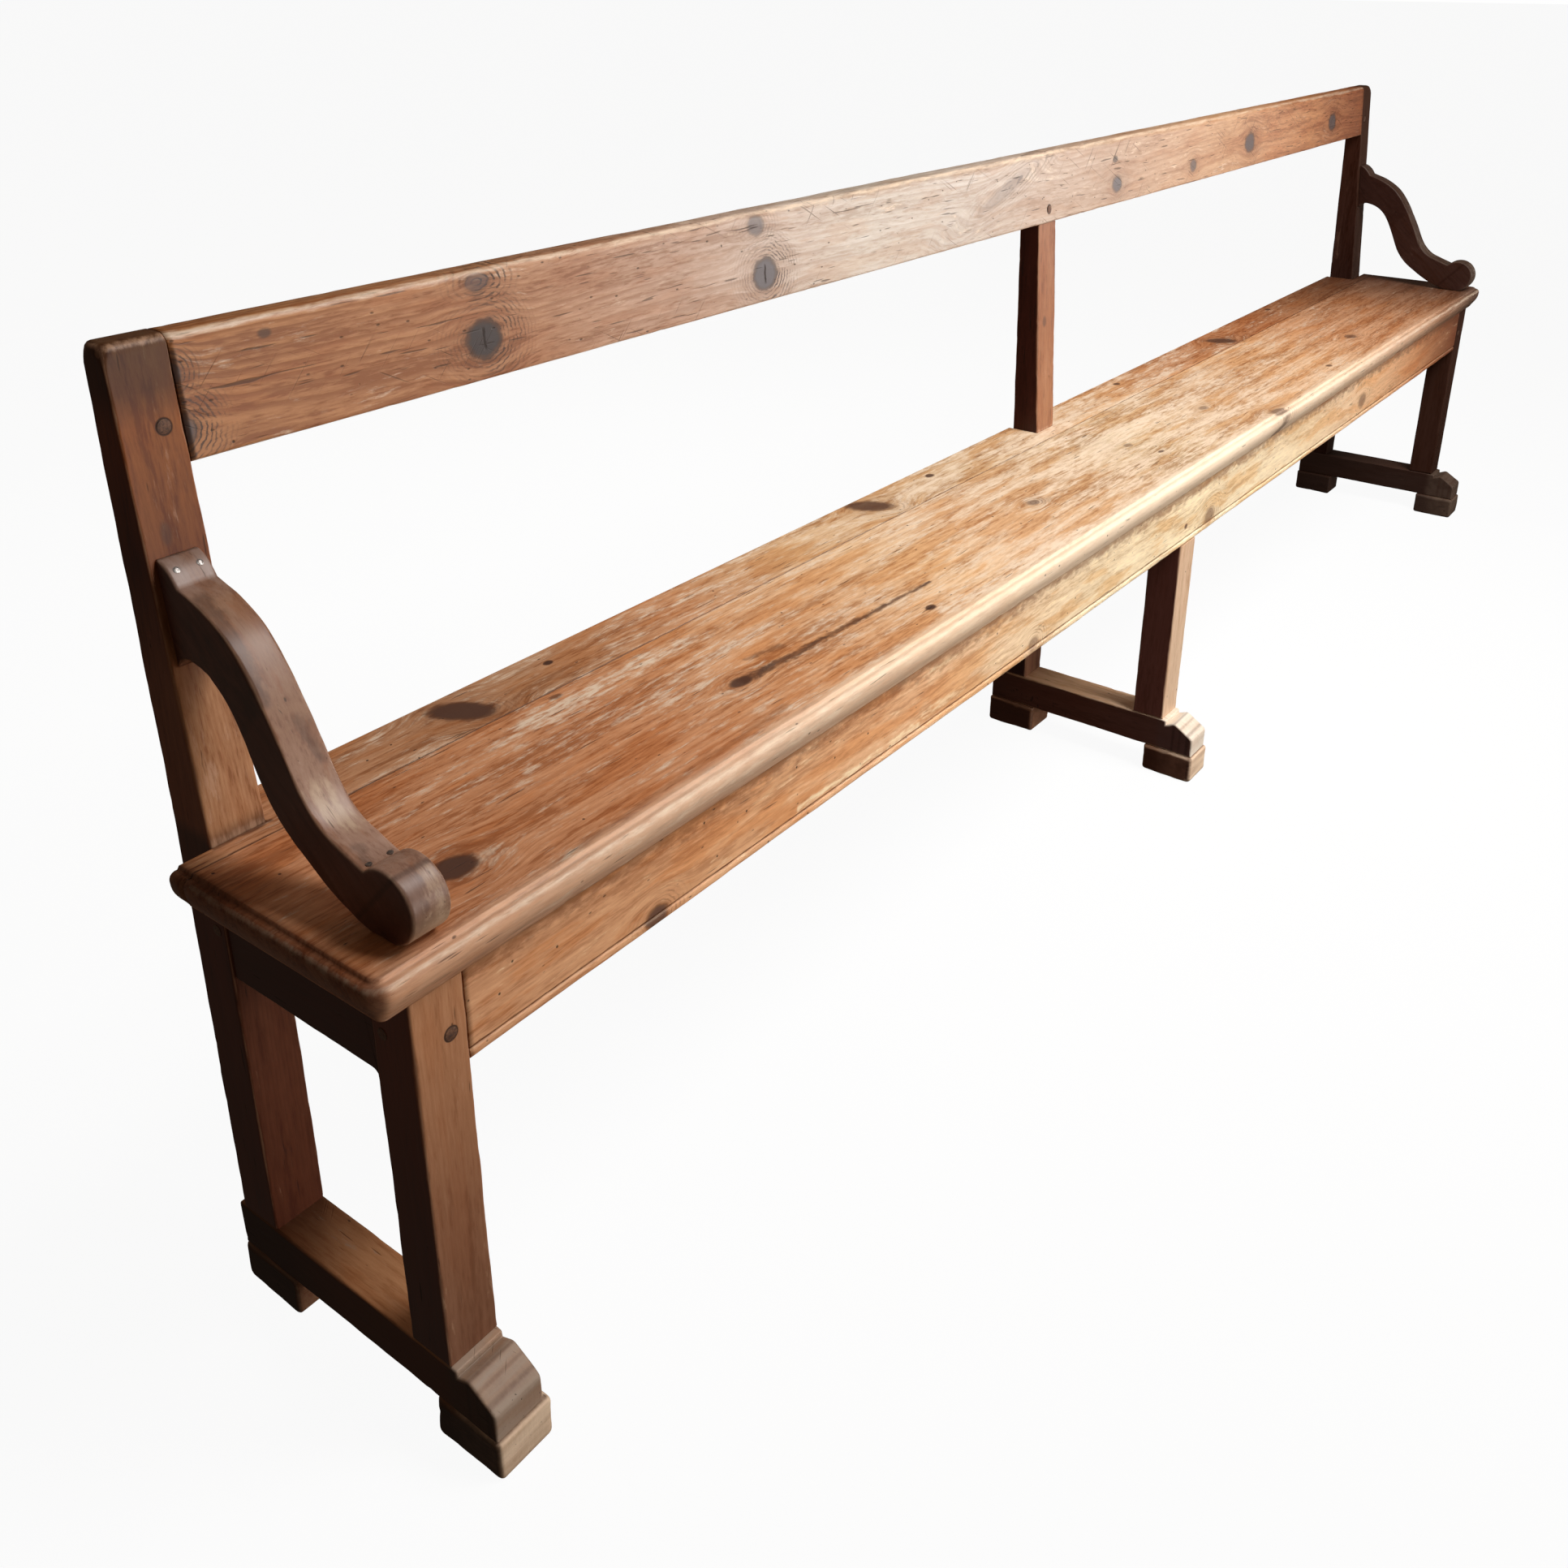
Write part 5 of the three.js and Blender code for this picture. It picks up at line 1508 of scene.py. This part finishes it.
@dataclass
class ScrollArm:
    """A serpentine arm that falls from a shoulder on the post to a scroll on the seat.

    The points of its outline are shares of the reach from the scroll to the post and of the rise over the
    seat. A mark is a Streak whose places across the arm start at its middle.
    """

    name: str
    side: int
    seed: int
    thickness: float = 33.0
    reveal: float = 6.0
    rise: float = 224.0
    overhang: float = 8.0
    scroll: float = 28.5
    sink: float = 0.8
    shoulder_shares: Place = (0.955, 0.995)
    upper_shares: tuple[Place, ...] = (
        (0.914, 0.925), (0.8, 0.882), (0.69, 0.806), (0.6, 0.683), (0.515, 0.522), (0.445, 0.375),
        (0.37, 0.289), (0.27, 0.242), (0.2, 0.216),
    )
    lower_shares: tuple[Place, ...] = (
        (0.262, 0.022), (0.35, 0.064), (0.45, 0.13), (0.54, 0.2), (0.61, 0.29), (0.67, 0.425),
        (0.72, 0.532), (0.775, 0.613), (0.84, 0.66), (0.906, 0.679),
    )
    contact_end_share: float = 0.2
    heel_shares: Place = (0.955, 0.68)
    heel_rise_share: float = 0.64
    scroll_steps: int = 34
    curve_steps: int = 8
    heel_steps: int = 6
    eases: Ends = (2.6, 2.6)
    nick: float = 1.2
    marks: tuple[Streak, ...] = (
        Streak((322, 3), (352, -4), (8, 11), 0.7, pale=True),
        Streak((236, 9), (262, 7), (9, 7), 0.5, pale=True), Streak((290, -9), (304, -6), (4, 5), 0.5),
        Streak((420, -13), (505, -9), (5, 7), 0.7), Streak((372, 10), (400, 4), (4, 6), 0.5),
        Streak((236, -10), (262, -8), (7, 8), 0.35), Streak((268, -20), (268, 20), (2.5, 2.5), 0.7),
    )

    @property
    def span(self) -> Ends:
        """The arm's two faces on x."""
        outer = self.side * (LAYOUT.half_span - self.reveal)
        inner = outer - self.side * self.thickness
        return min(outer, inner), max(outer, inner)

    def point(self, shares: Place) -> np.ndarray:
        """A point given as shares of the reach from scroll to post and of the rise over the seat."""
        reach = LAYOUT.post_front_at(LAYOUT.seat_height + self.rise) - LAYOUT.fit + self.overhang
        seat = LAYOUT.seat_height + LAYOUT.fit
        return np.array([-self.overhang + shares[0] * reach, seat + shares[1] * self.rise])

    def outline(self) -> np.ndarray:
        """The arm's closed outline in (y, z): shoulder, upper edge, scroll, foot, lower edge and heel."""
        seat = LAYOUT.seat_height + LAYOUT.fit
        upper = np.array([self.point(shares) for shares in self.upper_shares])
        middle = np.array([-self.overhang + self.scroll, seat + self.scroll - self.sink])
        start = math.atan2(*(upper[-1] - middle)[::-1])
        end = math.pi + math.asin((self.scroll - self.sink) / self.scroll)
        angle = np.linspace(start, end, self.scroll_steps)[:, None]
        scroll = middle + self.scroll * np.concatenate([np.cos(angle), np.sin(angle)], axis=1)
        contact = np.array([[self.point((self.contact_end_share, 0))[0], seat]])
        lower = np.array([self.point(shares) for shares in self.lower_shares])
        heel_z = seat + self.heel_rise_share * self.rise
        heel_end = np.array([LAYOUT.post_front_at(heel_z) - LAYOUT.fit, heel_z])
        parts = [
            bent(self.point((1, 1)), self.point(self.shoulder_shares), upper[0], self.curve_steps),
            spline(upper, self.curve_steps),
            scroll[1:],
            contact,
            spline(np.vstack([contact, lower]), self.curve_steps),
            bent(lower[-1], self.point(self.heel_shares), heel_end, self.heel_steps)[1:],
        ]
        return np.vstack(parts)

    def build(self) -> None:
        """Builds the arm and dresses it. The right one is darker, partly by painted shade, and dull."""
        edges = Edges(self.eases, self.nick, self.seed)
        skin = worn_slab(Section.drawn(self.outline()), self.span, edges)
        piece = skin.piece(f"{self.name}_scroll_arm", f"{self.name}_armrest", "umber_pine")
        pine = Finishes().arm
        if self.side > 0:
            # Darker, partly by painted shade, and dull
            pine = replace(
                pine, name="right_arm_pine", tints=shades((0.235, 96, 76, 64), (0.55, 84, 62, 52)),
                bare=tone(132, 116, 104), shaded_flank=(0.5, 0.34, 0.34), gloss=0.2, coat=0.0,
            )
        middle = (self.span[0] + self.span[1]) / 2
        marks = tuple(mark.moved(middle) for mark in self.marks)
        pine.dress([piece], Grain.CROSS, Marks(streaks=marks))


@dataclass
class Seat:
    """The two seat boards, with a moulded edge in front and at the ends.

    A level of the moulding is a share of the undercut, by which it stands in, and a share of the thickness.
    Its wear runs up the moulding from share to share of the thickness. The front's wear is deepest on the
    crown of the moulding, and the chips are on the crown and on the lower lip, where one bite is missing.
    """

    end_overhang: float = 35.4
    front_overhang: float = 14.0
    rear_overhang: float = 6.0
    joint: float = 198.5
    gap: float = 0.6
    corner: float = 18.0
    undercut: float = 12.0
    level_shares: tuple[Place, ...] = (
        (1, 0), (0.975, 0.03), (0.78, 0.13), (0.57, 0.227), (0.36, 0.33), (0.19, 0.432), (0.08, 0.535),
        (0.025, 0.63), (0, 0.75), (0.02, 0.805), (0.09, 0.86), (0.23, 0.9), (0.41, 0.922), (0.58, 0.912),
        (0.66, 0.945), (0.75, 0.99), (0.82, 1.0),
    )
    wear_shares: tuple[Place, ...] = (
        (0.0, 0.0), (0.03, 0.5), (0.1, 0.1), (0.6, 0.0), (0.75, 0.55), (0.86, 1.0), (0.9, 0.9), (0.93, 0.2),
        (1.0, 0.5),
    )
    top_ease: float = 0.7
    slow_wear: Place = (0.55, 420.0)
    quick_wear: Place = (0.25, 90.0)
    lip_height: float = 9.0
    crown_middle: float = 32.0
    crown_height: float = 6.0
    bite_depth: float = 7.0
    bite_at: float = 873.0
    bite_width: float = 11.0
    lip_chip: float = 1.8
    lip_chip_spread: Ends = (70.0, 4.0)
    crown_chip: float = 1.1
    crown_chip_spread: Ends = (90.0, 6.0)
    # Darker towards both ends, most at the right: partly the wood's tone, partly painted shade
    rear_tints: Tints = shades(
        (-1.376, 192, 134, 94), (-1.0, 178, 132, 98), (-0.8, 197, 140, 99), (-0.6, 207, 166, 125),
        (-0.24, 203, 172, 138), (0.18, 209, 169, 131), (0.43, 199, 149, 112), (0.8, 189, 126, 85),
        (1.03, 162, 109, 74), (1.34, 98, 63, 47),
    )
    front_knots: tuple[Knot, ...] = (
        Knot(-1247, -58, 12, 1.3, 0.12), Knot(-300, -19, 6, 1.4, strength=0.38),
        Knot(-19, -12, 5, 1.5, 0, 0.36), Knot(-17, -59, 2.6, 2.2, 0, 0.6),
        Knot(214, -22, 5.5, 1.7, 0.3, 0.27), Knot(-641, -86, 4, 1.6, 0, 0.9),
        Knot(268, -117, 8, 2.4, 0.4, 0.4, tilt=-16), Knot(792, -52, 9, 1.4, 0.3, 0.38),
        Knot(570, -88, 4, 1.6, 0, 0.6), Knot(-1012, 76, 3.5, 1.8, 0, 0.5),
        Knot(-889, -37, 6.5, 1.7, 0.3, 0.8),
    )
    front_stains: tuple[Streak, ...] = (
        Streak((-1060, 58), (-860, 62), (12, 9), 0.8, pale=True),
        Streak((-1118, 0), (-1110, 1), (6, 6), 0.9, pale=True),
        Streak((-290, -22), (-262, -34), (9, 5), 0.25), Streak((-1204, -112), (-900, -98), (3, 4), 0.3),
        Streak((-640, -103), (-330, -110), (9, 8), 0.9, pale=True),
        Streak((-90, 68), (10, 66), (10, 16), 0.8, pale=True),
        Streak((-160, 8), (260, 14), (9, 12), 0.8, pale=True),
    )
    pitch_streaks: tuple[Streak, ...] = (
        Streak((-884, -38), (-585, -50), (6.2, 2.4), 1), Streak((-850, -11), (-806, -20), (3, 5), 0.6),
    )
    rear_knots: tuple[Knot, ...] = (
        Knot(-1081, 122, 14, 1.8, 0.3, 0.95, tilt=-52), Knot(-430, 131, 14, 1.8, 0.3, 0.7, tilt=-52),
        Knot(624, 116, 14, 1.7, 0.3, 0.65, tilt=-48), Knot(-967, 131, 3.2, 1.4, 0),
        Knot(912, 140, 4, 1.7, 0, 0.7), Knot(-290, 134, 4, 1.6, 0, 0.8), Knot(258, 136, 4, 1.5, 0, 0.7),
    )
    rear_stains: tuple[Streak, ...] = (
        Streak((-1338, 103), (-1290, 103), (2.6, 2.6), 0.9),
        Streak((-70, 102), (20, 104), (7, 7), 0.6, pale=True),
    )
    joint_line: tuple[float, float, float] = (1370.0, 1.1, 0.8)

    @property
    def side(self) -> float:
        """Half the length over the widest line of the moulded ends."""
        return LAYOUT.half_span + self.end_overhang

    def _levels(self) -> tuple[np.ndarray, np.ndarray, np.ndarray, np.ndarray]:
        """How far each level of the moulding stands in, its height, its wear and its ease at cut edges."""
        inset, height = np.array(self.level_shares).T
        worn = np.interp(height, *np.array(self.wear_shares).T)
        worn[-1] = 0
        ease = np.where(height == 1, self.top_ease, 0.0)
        return inset * self.undercut, LAYOUT.seat_underside + height * LAYOUT.seat_thickness, worn, ease

    def _front_wear(self, x: np.ndarray, heights: np.ndarray) -> np.ndarray:
        """How far the front stands in by wear.

        The crown and the lip fade by bell curves of the height. Two wandering lines wear the crown, nicks
        chip both, and one bell curve along x bites into the lip.

        Args:
            x: places along each level.
            heights: the levels' heights, as a column.

        Returns:
            The wear at each place, never below zero.
        """
        above = heights - LAYOUT.seat_underside
        lip = np.exp(-((above / self.lip_height) ** 2))
        crown = np.exp(-(((above - self.crown_middle) / self.crown_height) ** 2))
        (slow, slow_period), (quick, quick_period) = self.slow_wear, self.quick_wear
        wear = slow * wander(x, 7, slow_period) + quick * wander(x, 8, quick_period)
        bite = self.bite_depth * np.exp(-(((x - self.bite_at) / self.bite_width) ** 2)) * lip
        lip_chips = self.lip_chip * nicks(x, 9, *self.lip_chip_spread) * lip
        crown_chips = self.crown_chip * nicks(x, 10, *self.crown_chip_spread) * crown
        chips = lip_chips + crown_chips
        return np.maximum(0, wear * crown + bite + chips)

    def front_board(self) -> bpy.types.Object:
        """The front board.

        Each level is a ring: straight along the joint, then a moulded end, a rounded corner, the moulded
        front, the other corner and the other end. The front wanders a little along x, by wear.

        Returns:
            The board.
        """
        inset, heights, worn, ease = (values[:, None] for values in self._levels())
        front, rear = inset - self.front_overhang, self.joint - self.gap / 2
        side, radius = self.side - inset, self.corner - inset
        x_front = np.linspace(-1, 1, 521)[None, :] * (side - radius)
        angle = np.linspace(0, math.pi / 2, 9)[None, 1:-1]
        ends = np.linspace(0, 1, 33)[None, 1:-1]
        x_joint = -np.linspace(-1, 1, 61)[None, :] * side
        y_joint = rear - ease
        y_end = y_joint + (front + radius - y_joint) * ends
        left = np.broadcast_to(-side, y_end.shape)
        along, across = radius * np.cos(angle), radius * np.sin(angle)
        parts = [
            (x_joint, np.broadcast_to(y_joint, x_joint.shape)),
            (left, y_end),
            (-side + radius - along, front + radius - across),
            (x_front, front + self._front_wear(x_front, heights)),
            (side - radius + across, front + radius - along),
            (-left, y_end[:, ::-1]),
        ]
        x = np.concatenate([part[0] for part in parts], axis=1)
        y = np.concatenate([part[1] for part in parts], axis=1)
        z = np.broadcast_to(heights, x.shape)
        moulded = np.ones(x.shape[1])
        moulded[: x_joint.shape[1]] = 0
        skin = Skin(np.stack([x, y, z], -1), worn * moulded[None])
        return skin.piece("seat_front_plank", "seat_front_board", "honey_pine")

    def rear_board(self) -> bpy.types.Object:
        """The rear board, notched round the posts. Each level is a ring, and only its ends are moulded."""
        inset, heights, _, ease = self._levels()
        front, rear = self.joint + self.gap / 2, LAYOUT.depth + self.rear_overhang
        half, fit = LAYOUT.timber / 2, LAYOUT.fit
        post = LAYOUT.post_front - fit
        inner = LAYOUT.half_span - LAYOUT.timber - fit
        left, right = LAYOUT.middle_offset - half - fit, LAYOUT.middle_offset + half + fit
        stile = LAYOUT.post_front + LAYOUT.stile_setback - fit
        rings = []
        for height, stand, e in zip(heights, inset, ease):
            side = self.side - stand
            ring = [
                (side, front + e), (side, post - e), (inner - e, post - e), (inner - e, rear - e),
                (right + e, rear - e), (right + e, stile - e), (left - e, stile - e), (left - e, rear - e),
                (-inner + e, rear - e), (-inner + e, post - e), (-side, post - e), (-side, front + e),
            ]
            rings.append([(x, y, height) for x, y in ring])
        rows = np.array(rings)
        return Skin(rows, np.zeros(rows.shape[:2])).piece("seat_rear_plank", "seat_rear_board", "honey_pine")

    def build(self) -> None:
        """Builds both boards and dresses them with the knots and stains that show."""
        front, rear = self.front_board(), self.rear_board()
        (reach, width, strength), joint = self.joint_line, self.joint + LAYOUT.shift
        joint_line = Streak((-reach, joint), (reach, joint), (width, width), strength)
        pine = Finishes().seat
        front_marks = Marks(self.front_knots, (*self.pitch_streaks, joint_line, *self.front_stains))
        pine.dress([front], Grain.LONG_FLAT, front_marks)
        rear_pine = replace(pine, name="seat_rear_pine", tints=self.rear_tints)
        rear_pine.dress([rear], Grain.LONG_FLAT, Marks(self.rear_knots, (joint_line, *self.rear_stains)))


@dataclass
class LongRails:
    """The two aprons under the seat and the rail of the back."""

    bead: float = 8.6
    bead_round_share: float = 0.9
    quirk_width: float = 2.2
    quirk_depth: float = 3.0
    quirk_rounds: tuple[float, float, float] = (0.7, 0.5, 0.5)
    apron_round: float = 1.2
    apron_nick: float = 0.8
    rear_reveal: float = 3.0
    rear_rounds: tuple[float, float, float, float] = (1.4, 1.8, 0.6, 0.6)
    rear_nick: float = 1.0
    rail_thickness: float = 25.5
    rail_low_round: float = 2.2
    rail_nick: float = 1.8
    apron_marks: Marks = Marks((
        Knot(-1093, 352, 9, 1.4, 0.5, 0.8), Knot(-458, 357, 8, 1.3, 0.6, 0.35),
        Knot(46, 362, 11, 1.4, 0.6, 0.35), Knot(-36, 371, 3, 1.4, 0, 0.8),
        Knot(702, 376, 11, 1.6, 0.4, 0.4),
    ), (
        Streak((-900, 359), (-700, 359.5), (3, 4), 0.9, pale=True),
        Streak((-690, 366), (-610, 364), (5, 4), 0.6, pale=True),
        Streak((-90, 358), (0, 360), (5, 6), 0.8, pale=True),
        # Painted shade in the quirk above the bead
        Streak((-1290, 353.5), (1290, 353.5), (1.6, 1.6), 0.8),
        # Painted shade across the apron's top, under the seat's nosing
        Streak((-1290, 424), (1290, 424), (14, 14), 0.8),
    ))
    rear_marks: Marks = Marks((Knot(-520, 380, 10), Knot(640, 392, 8)))
    rail_marks: Marks = Marks((
        Knot(-1014, 777, 13.5, 1.2, 0.9, split=True, heart=0.1),
        Knot(-634, 771, 13.5, 1.2, 1, split=True, heart=0.45), Knot(-644, 821, 9, 1.3, 0.4, 0.5, 0.6),
        Knot(-1014, 824, 7, 1.8, 1, 0.35), Knot(-140, 796, 8, 7, 0.5, 0.16, tilt=17),
        Knot(186, 770, 9.5, 1.35, 0.3, 0.75), Knot(180, 805, 4, 1.6, 0, 0.6),
        Knot(458, 769, 8, 1.3, 0.3, 0.55), Knot(694, 782, 13.5, 1.3, 0.4, 0.75),
        Knot(1112, 782, 13, 1.3, 0.3, 0.7), Knot(-1298, 766, 12, 1.1, 0.9, 0.6),
        Knot(-1294, 806, 7, 1, 0.9, 0.5), Knot(-1217, 820, 3, 1.7, 0, 0.45),
    ), (Streak((-1290, 746), (-1290, 820), (2.6, 2.6), 0.9),), (Peg(-20, 760.5),))

    @property
    def span(self) -> Ends:
        """The stretch between the end frames, short of them by the fit."""
        end = LAYOUT.half_span - LAYOUT.timber - LAYOUT.fit
        return -end, end

    def front_apron(self) -> bpy.types.Object:
        """The front apron, with a bead along its lower edge set off by a quirk."""
        low, high = LAYOUT.apron_bottom, LAYOUT.seat_underside - LAYOUT.fit
        half, bead_top = self.bead / 2, LAYOUT.apron_bottom + self.bead
        back = LAYOUT.apron_thickness
        corners = [
            (back, low), (back, high), (0.0, high), (0.0, bead_top + self.quirk_width),
            (self.quirk_depth, bead_top + self.quirk_width / 2), (half, bead_top), (0.0, bead_top),
            (0.0, low),
        ]
        bead_round = half * self.bead_round_share
        setbacks = [self.apron_round, LAYOUT.sharp, LAYOUT.sharp, *self.quirk_rounds, bead_round, bead_round]
        skin = beam(corners, setbacks, self.span, 21, self.apron_nick)
        return skin.piece("front_apron_board", "front_apron", "honey_pine")

    def rear_apron(self) -> bpy.types.Object:
        """The plain rear apron."""
        rear = LAYOUT.depth - self.rear_reveal
        low, high = LAYOUT.apron_bottom, LAYOUT.seat_underside - 2 * LAYOUT.fit
        front = rear - LAYOUT.apron_thickness
        corners = [(front, low), (rear, low), (rear, high), (front, high)]
        skin = beam(corners, self.rear_rounds, self.span, 31, self.rear_nick)
        return skin.piece("rear_apron_board", "rear_apron", "rail_pine")

    def back_rail(self) -> bpy.types.Object:
        """The rail of the back, which leans with the posts. Its top edges are worn round."""
        top = LAYOUT.back_height
        low = top - LAYOUT.rail_height
        front, top_front = LAYOUT.post_front_at(low), LAYOUT.post_front_at(top)
        corners = [
            (front, low), (front + self.rail_thickness, low), (top_front + self.rail_thickness, top),
            (top_front, top),
        ]
        setbacks = [self.rail_low_round, self.rail_low_round, LAYOUT.top_rear_round, LAYOUT.top_front_round]
        skin = beam(corners, setbacks, self.span, 41, self.rail_nick)
        return skin.piece("back_rail_board", "back_top_rail", "rail_pine")

    def build(self) -> None:
        """Builds the three long boards and dresses them with their knots and streaks."""
        apron, rear, rail = self.front_apron(), self.rear_apron(), self.back_rail()
        finishes, grain = Finishes(), Grain.LONG_UPRIGHT
        finishes.apron.dress([apron], grain, self.apron_marks)
        finishes.rail.dress([rail], grain, self.rail_marks)
        finishes.rail.dress([rear], grain, self.rear_marks)


@dataclass
class Fixings:
    """The peg heads and nails. They keep their CAD shape and get their own finishes."""

    peg_wood: Colour = tone(116, 76, 50)
    peg_dark: Colour = tone(62, 39, 27)
    iron: Colour = tone(140, 136, 132)
    rust: Colour = tone(92, 66, 52)

    def dress(self) -> None:
        """Dresses the pegs as end grain and the nails as old iron rubbed bright."""
        peg, nail = self.end_grain(), self.old_iron()
        for name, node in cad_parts.items():
            material = peg if name.endswith("_peg") else nail if "_nail_" in name else None
            if material is not None:
                node.data.materials.clear()
                node.data.materials.append(material)
                log.info("%s: dressed", name)

    def end_grain(self) -> bpy.types.Material:
        """Small rings and pores of a peg's end."""
        recipe = Recipe("peg_end_grain")
        place = recipe.object_place()
        cloud, fine = recipe.noise(place, Noise.PEG_CLOUD), recipe.noise(place, Noise.PEG_FINE)
        dark = (cloud * 0.8 + fine * 0.4).rise(0.42, 0.78)
        return recipe.made_of("ShaderNodeBsdfPrincipled", {
            "Base Color": recipe.mix(dark, self.peg_wood, self.peg_dark), "Roughness": cloud * 0.2 + 0.45,
            "Normal": recipe.bump(cloud + fine * 0.5, 0.6, 0.0006),
        })

    def old_iron(self) -> bpy.types.Material:
        """Iron rubbed bright, with rust in its hollows."""
        recipe = Recipe("old_iron")
        rusty = recipe.noise(recipe.object_place(), Noise.RUST).rise(0.5, 0.68)
        return recipe.made_of("ShaderNodeBsdfPrincipled", {
            "Base Color": recipe.mix(rusty, self.iron, self.rust), "Roughness": rusty * 0.4 + 0.35,
            "Metallic": 1.0 - rusty * 0.9,
        })


# Studio


@dataclass(frozen=True)
class Lamp:
    """A soft rectangular light: where it is, where it points, its sides, power, colour, spread and sheen."""

    name: str
    at: tuple[float, float, float]
    to: tuple[float, float, float]
    size: tuple[float, float]
    power: float
    colour: Colour = (1.0, 1.0, 1.0)
    spread: float = 180.0
    sheen: bool = True

    def hang(self) -> None:
        """Puts the light in the scene."""
        data = bpy.data.lights.new(self.name, "AREA")
        data.shape = "RECTANGLE"
        data.size, data.size_y = self.size
        data.energy = self.power
        data.color = self.colour
        data.spread = math.radians(self.spread)
        lamp = bpy.data.objects.new(self.name, data)
        lamp.location = self.at
        lamp.visible_glossy = self.sheen
        lamp.rotation_euler = (Vector(self.to) - Vector(self.at)).to_track_quat("-Z", "Y").to_euler()
        bpy.context.scene.collection.objects.link(lamp)


@dataclass
class Studio:
    """A plain pale floor, soft light and the camera."""

    lamps: tuple[Lamp, ...] = (
        Lamp("skylight", (0.0, -1.25, 2.55), (-0.03, -0.02, 0.45), (1.1, 1.1), 25.0,
             (1.0, 0.99, 0.98), 100.0),
        Lamp("window", (2.4, -1.9, 0.95), (-0.45, 0.13, 0.75), (1.2, 0.8), 4.5, (1.0, 0.98, 0.96), 56.0),
        Lamp("front", (-0.35, -2.5, 0.5), (-0.4, 0.0, 0.25), (1.0, 0.8), 10.0, (1.0, 0.97, 0.93), 110.0),
        Lamp("back", (0.2, 2.4, 1.6), (0.0, 0.1, 0.5), (1.2, 1.2), 10.0, (1.0, 0.98, 0.96), 120.0, False),
    )
    ambient: float = 0.08
    ambient_colour: Colour = (1.0, 0.78, 0.6)
    floor_half: float = 40.0
    floor_shades: Ends = (0.86, 0.9)
    floor_glow: float = 0.94
    camera_at: tuple[float, float, float] = (-1.8299, -0.7975, 1.0716)
    azimuth: float = -52.923
    elevation: float = 22.638
    roll: float = 0.082
    focal_pixels: float = 1826.8
    principal_row: float = 706.37
    image: float = 1932.0
    sensor: float = 36.0

    def build(self) -> None:
        """Builds the floor, the lights, the surroundings and the camera."""
        self.floor()
        for lamp in self.lamps:
            lamp.hang()
        self.surroundings()
        self.camera()
        bpy.context.scene.view_settings.view_transform = "Standard"

    def floor(self) -> None:
        """A wide pale floor, which throws no light back on the bench."""
        mesh = bpy.data.meshes.new("floor")
        around = ((-1, -1), (1, -1), (1, 1), (-1, 1))
        corners = [(x * self.floor_half, y * self.floor_half, 0) for x, y in around]
        mesh.from_pydata(corners, [], [(0, 1, 2, 3)])
        floor = bpy.data.objects.new("floor", mesh)
        bpy.context.scene.collection.objects.link(floor)
        floor.visible_diffuse = False
        floor.visible_glossy = False
        recipe = Recipe("pale_floor")
        cloud = recipe.noise(recipe.object_place(), Noise.FLOOR)
        darker, lighter = ((shade,) * 3 for shade in self.floor_shades)
        pale = recipe.mix(cloud, darker, lighter)
        matt = recipe.node("ShaderNodeBsdfDiffuse", {}, {"Color": pale, "Roughness": 1.0})
        glow = recipe.node("ShaderNodeEmission", {}, {"Color": (1.0, 1.0, 1.0, 1.0), "Strength": 1.0})
        both = {0: self.floor_glow, 1: recipe.out(matt), 2: recipe.out(glow)}
        mesh.materials.append(recipe.made_of("ShaderNodeMixShader", both))

    def surroundings(self) -> None:
        """White to the camera, and a dim warm light to the bench."""
        world = bpy.data.worlds.new("surroundings")
        world.use_nodes = True
        tree = world.node_tree
        tree.nodes.clear()
        path = tree.nodes.new("ShaderNodeLightPath")
        both = tree.nodes.new("ShaderNodeMixShader")
        output = tree.nodes.new("ShaderNodeOutputWorld")
        for socket, colour, strength in ((1, self.ambient_colour, self.ambient), (2, (1.0, 1.0, 1.0), 1.0)):
            background = tree.nodes.new("ShaderNodeBackground")
            background.inputs["Color"].default_value = (*colour, 1.0)
            background.inputs["Strength"].default_value = strength
            tree.links.new(background.outputs[0], both.inputs[socket])
        tree.links.new(path.outputs["Is Camera Ray"], both.inputs[0])
        tree.links.new(both.outputs[0], output.inputs[0])
        bpy.context.scene.world = world

    def camera(self) -> None:
        """The camera, at the photograph's viewing angle.

        It looks along (sin(-az) cos(el), cos(-az) cos(el), -sin(el)). The focal length comes from pixels to
        the sensor's millimetres, and the frame is shifted down to where its optical axis meets the image.
        """
        data = bpy.data.cameras.new("camera")
        data.sensor_width = self.sensor
        data.lens = self.focal_pixels / self.image * self.sensor
        data.shift_y = (self.principal_row - self.image / 2) / self.image
        azimuth, elevation = math.radians(-self.azimuth), math.radians(self.elevation)
        level = math.cos(elevation)
        ahead = Vector((math.sin(azimuth) * level, math.cos(azimuth) * level, -math.sin(elevation)))
        turn = ahead.to_track_quat("-Z", "Y").to_matrix().to_4x4()
        camera = bpy.data.objects.new("camera", data)
        roll = Matrix.Rotation(math.radians(self.roll), 4, "Z")
        camera.matrix_world = Matrix.Translation(self.camera_at) @ turn @ roll
        bpy.context.scene.collection.objects.link(camera)
        bpy.context.scene.camera = camera


def main() -> None:
    """Builds the bench's looks in order."""
    logging.basicConfig(level=logging.INFO, format="%(name)s %(message)s")
    frames = [SideFrame("left", -1, 1), SideFrame("middle", 0, 2), SideFrame("right", 1, 3, top_wear=10.0)]
    for side_frame in frames:
        side_frame.build()
    ScrollArm("left", -1, 4).build()
    ScrollArm("right", 1, 5).build()
    Seat().build()
    LongRails().build()
    Fixings().dress()
    Studio().build()


if __name__ == "__main__":
    main()
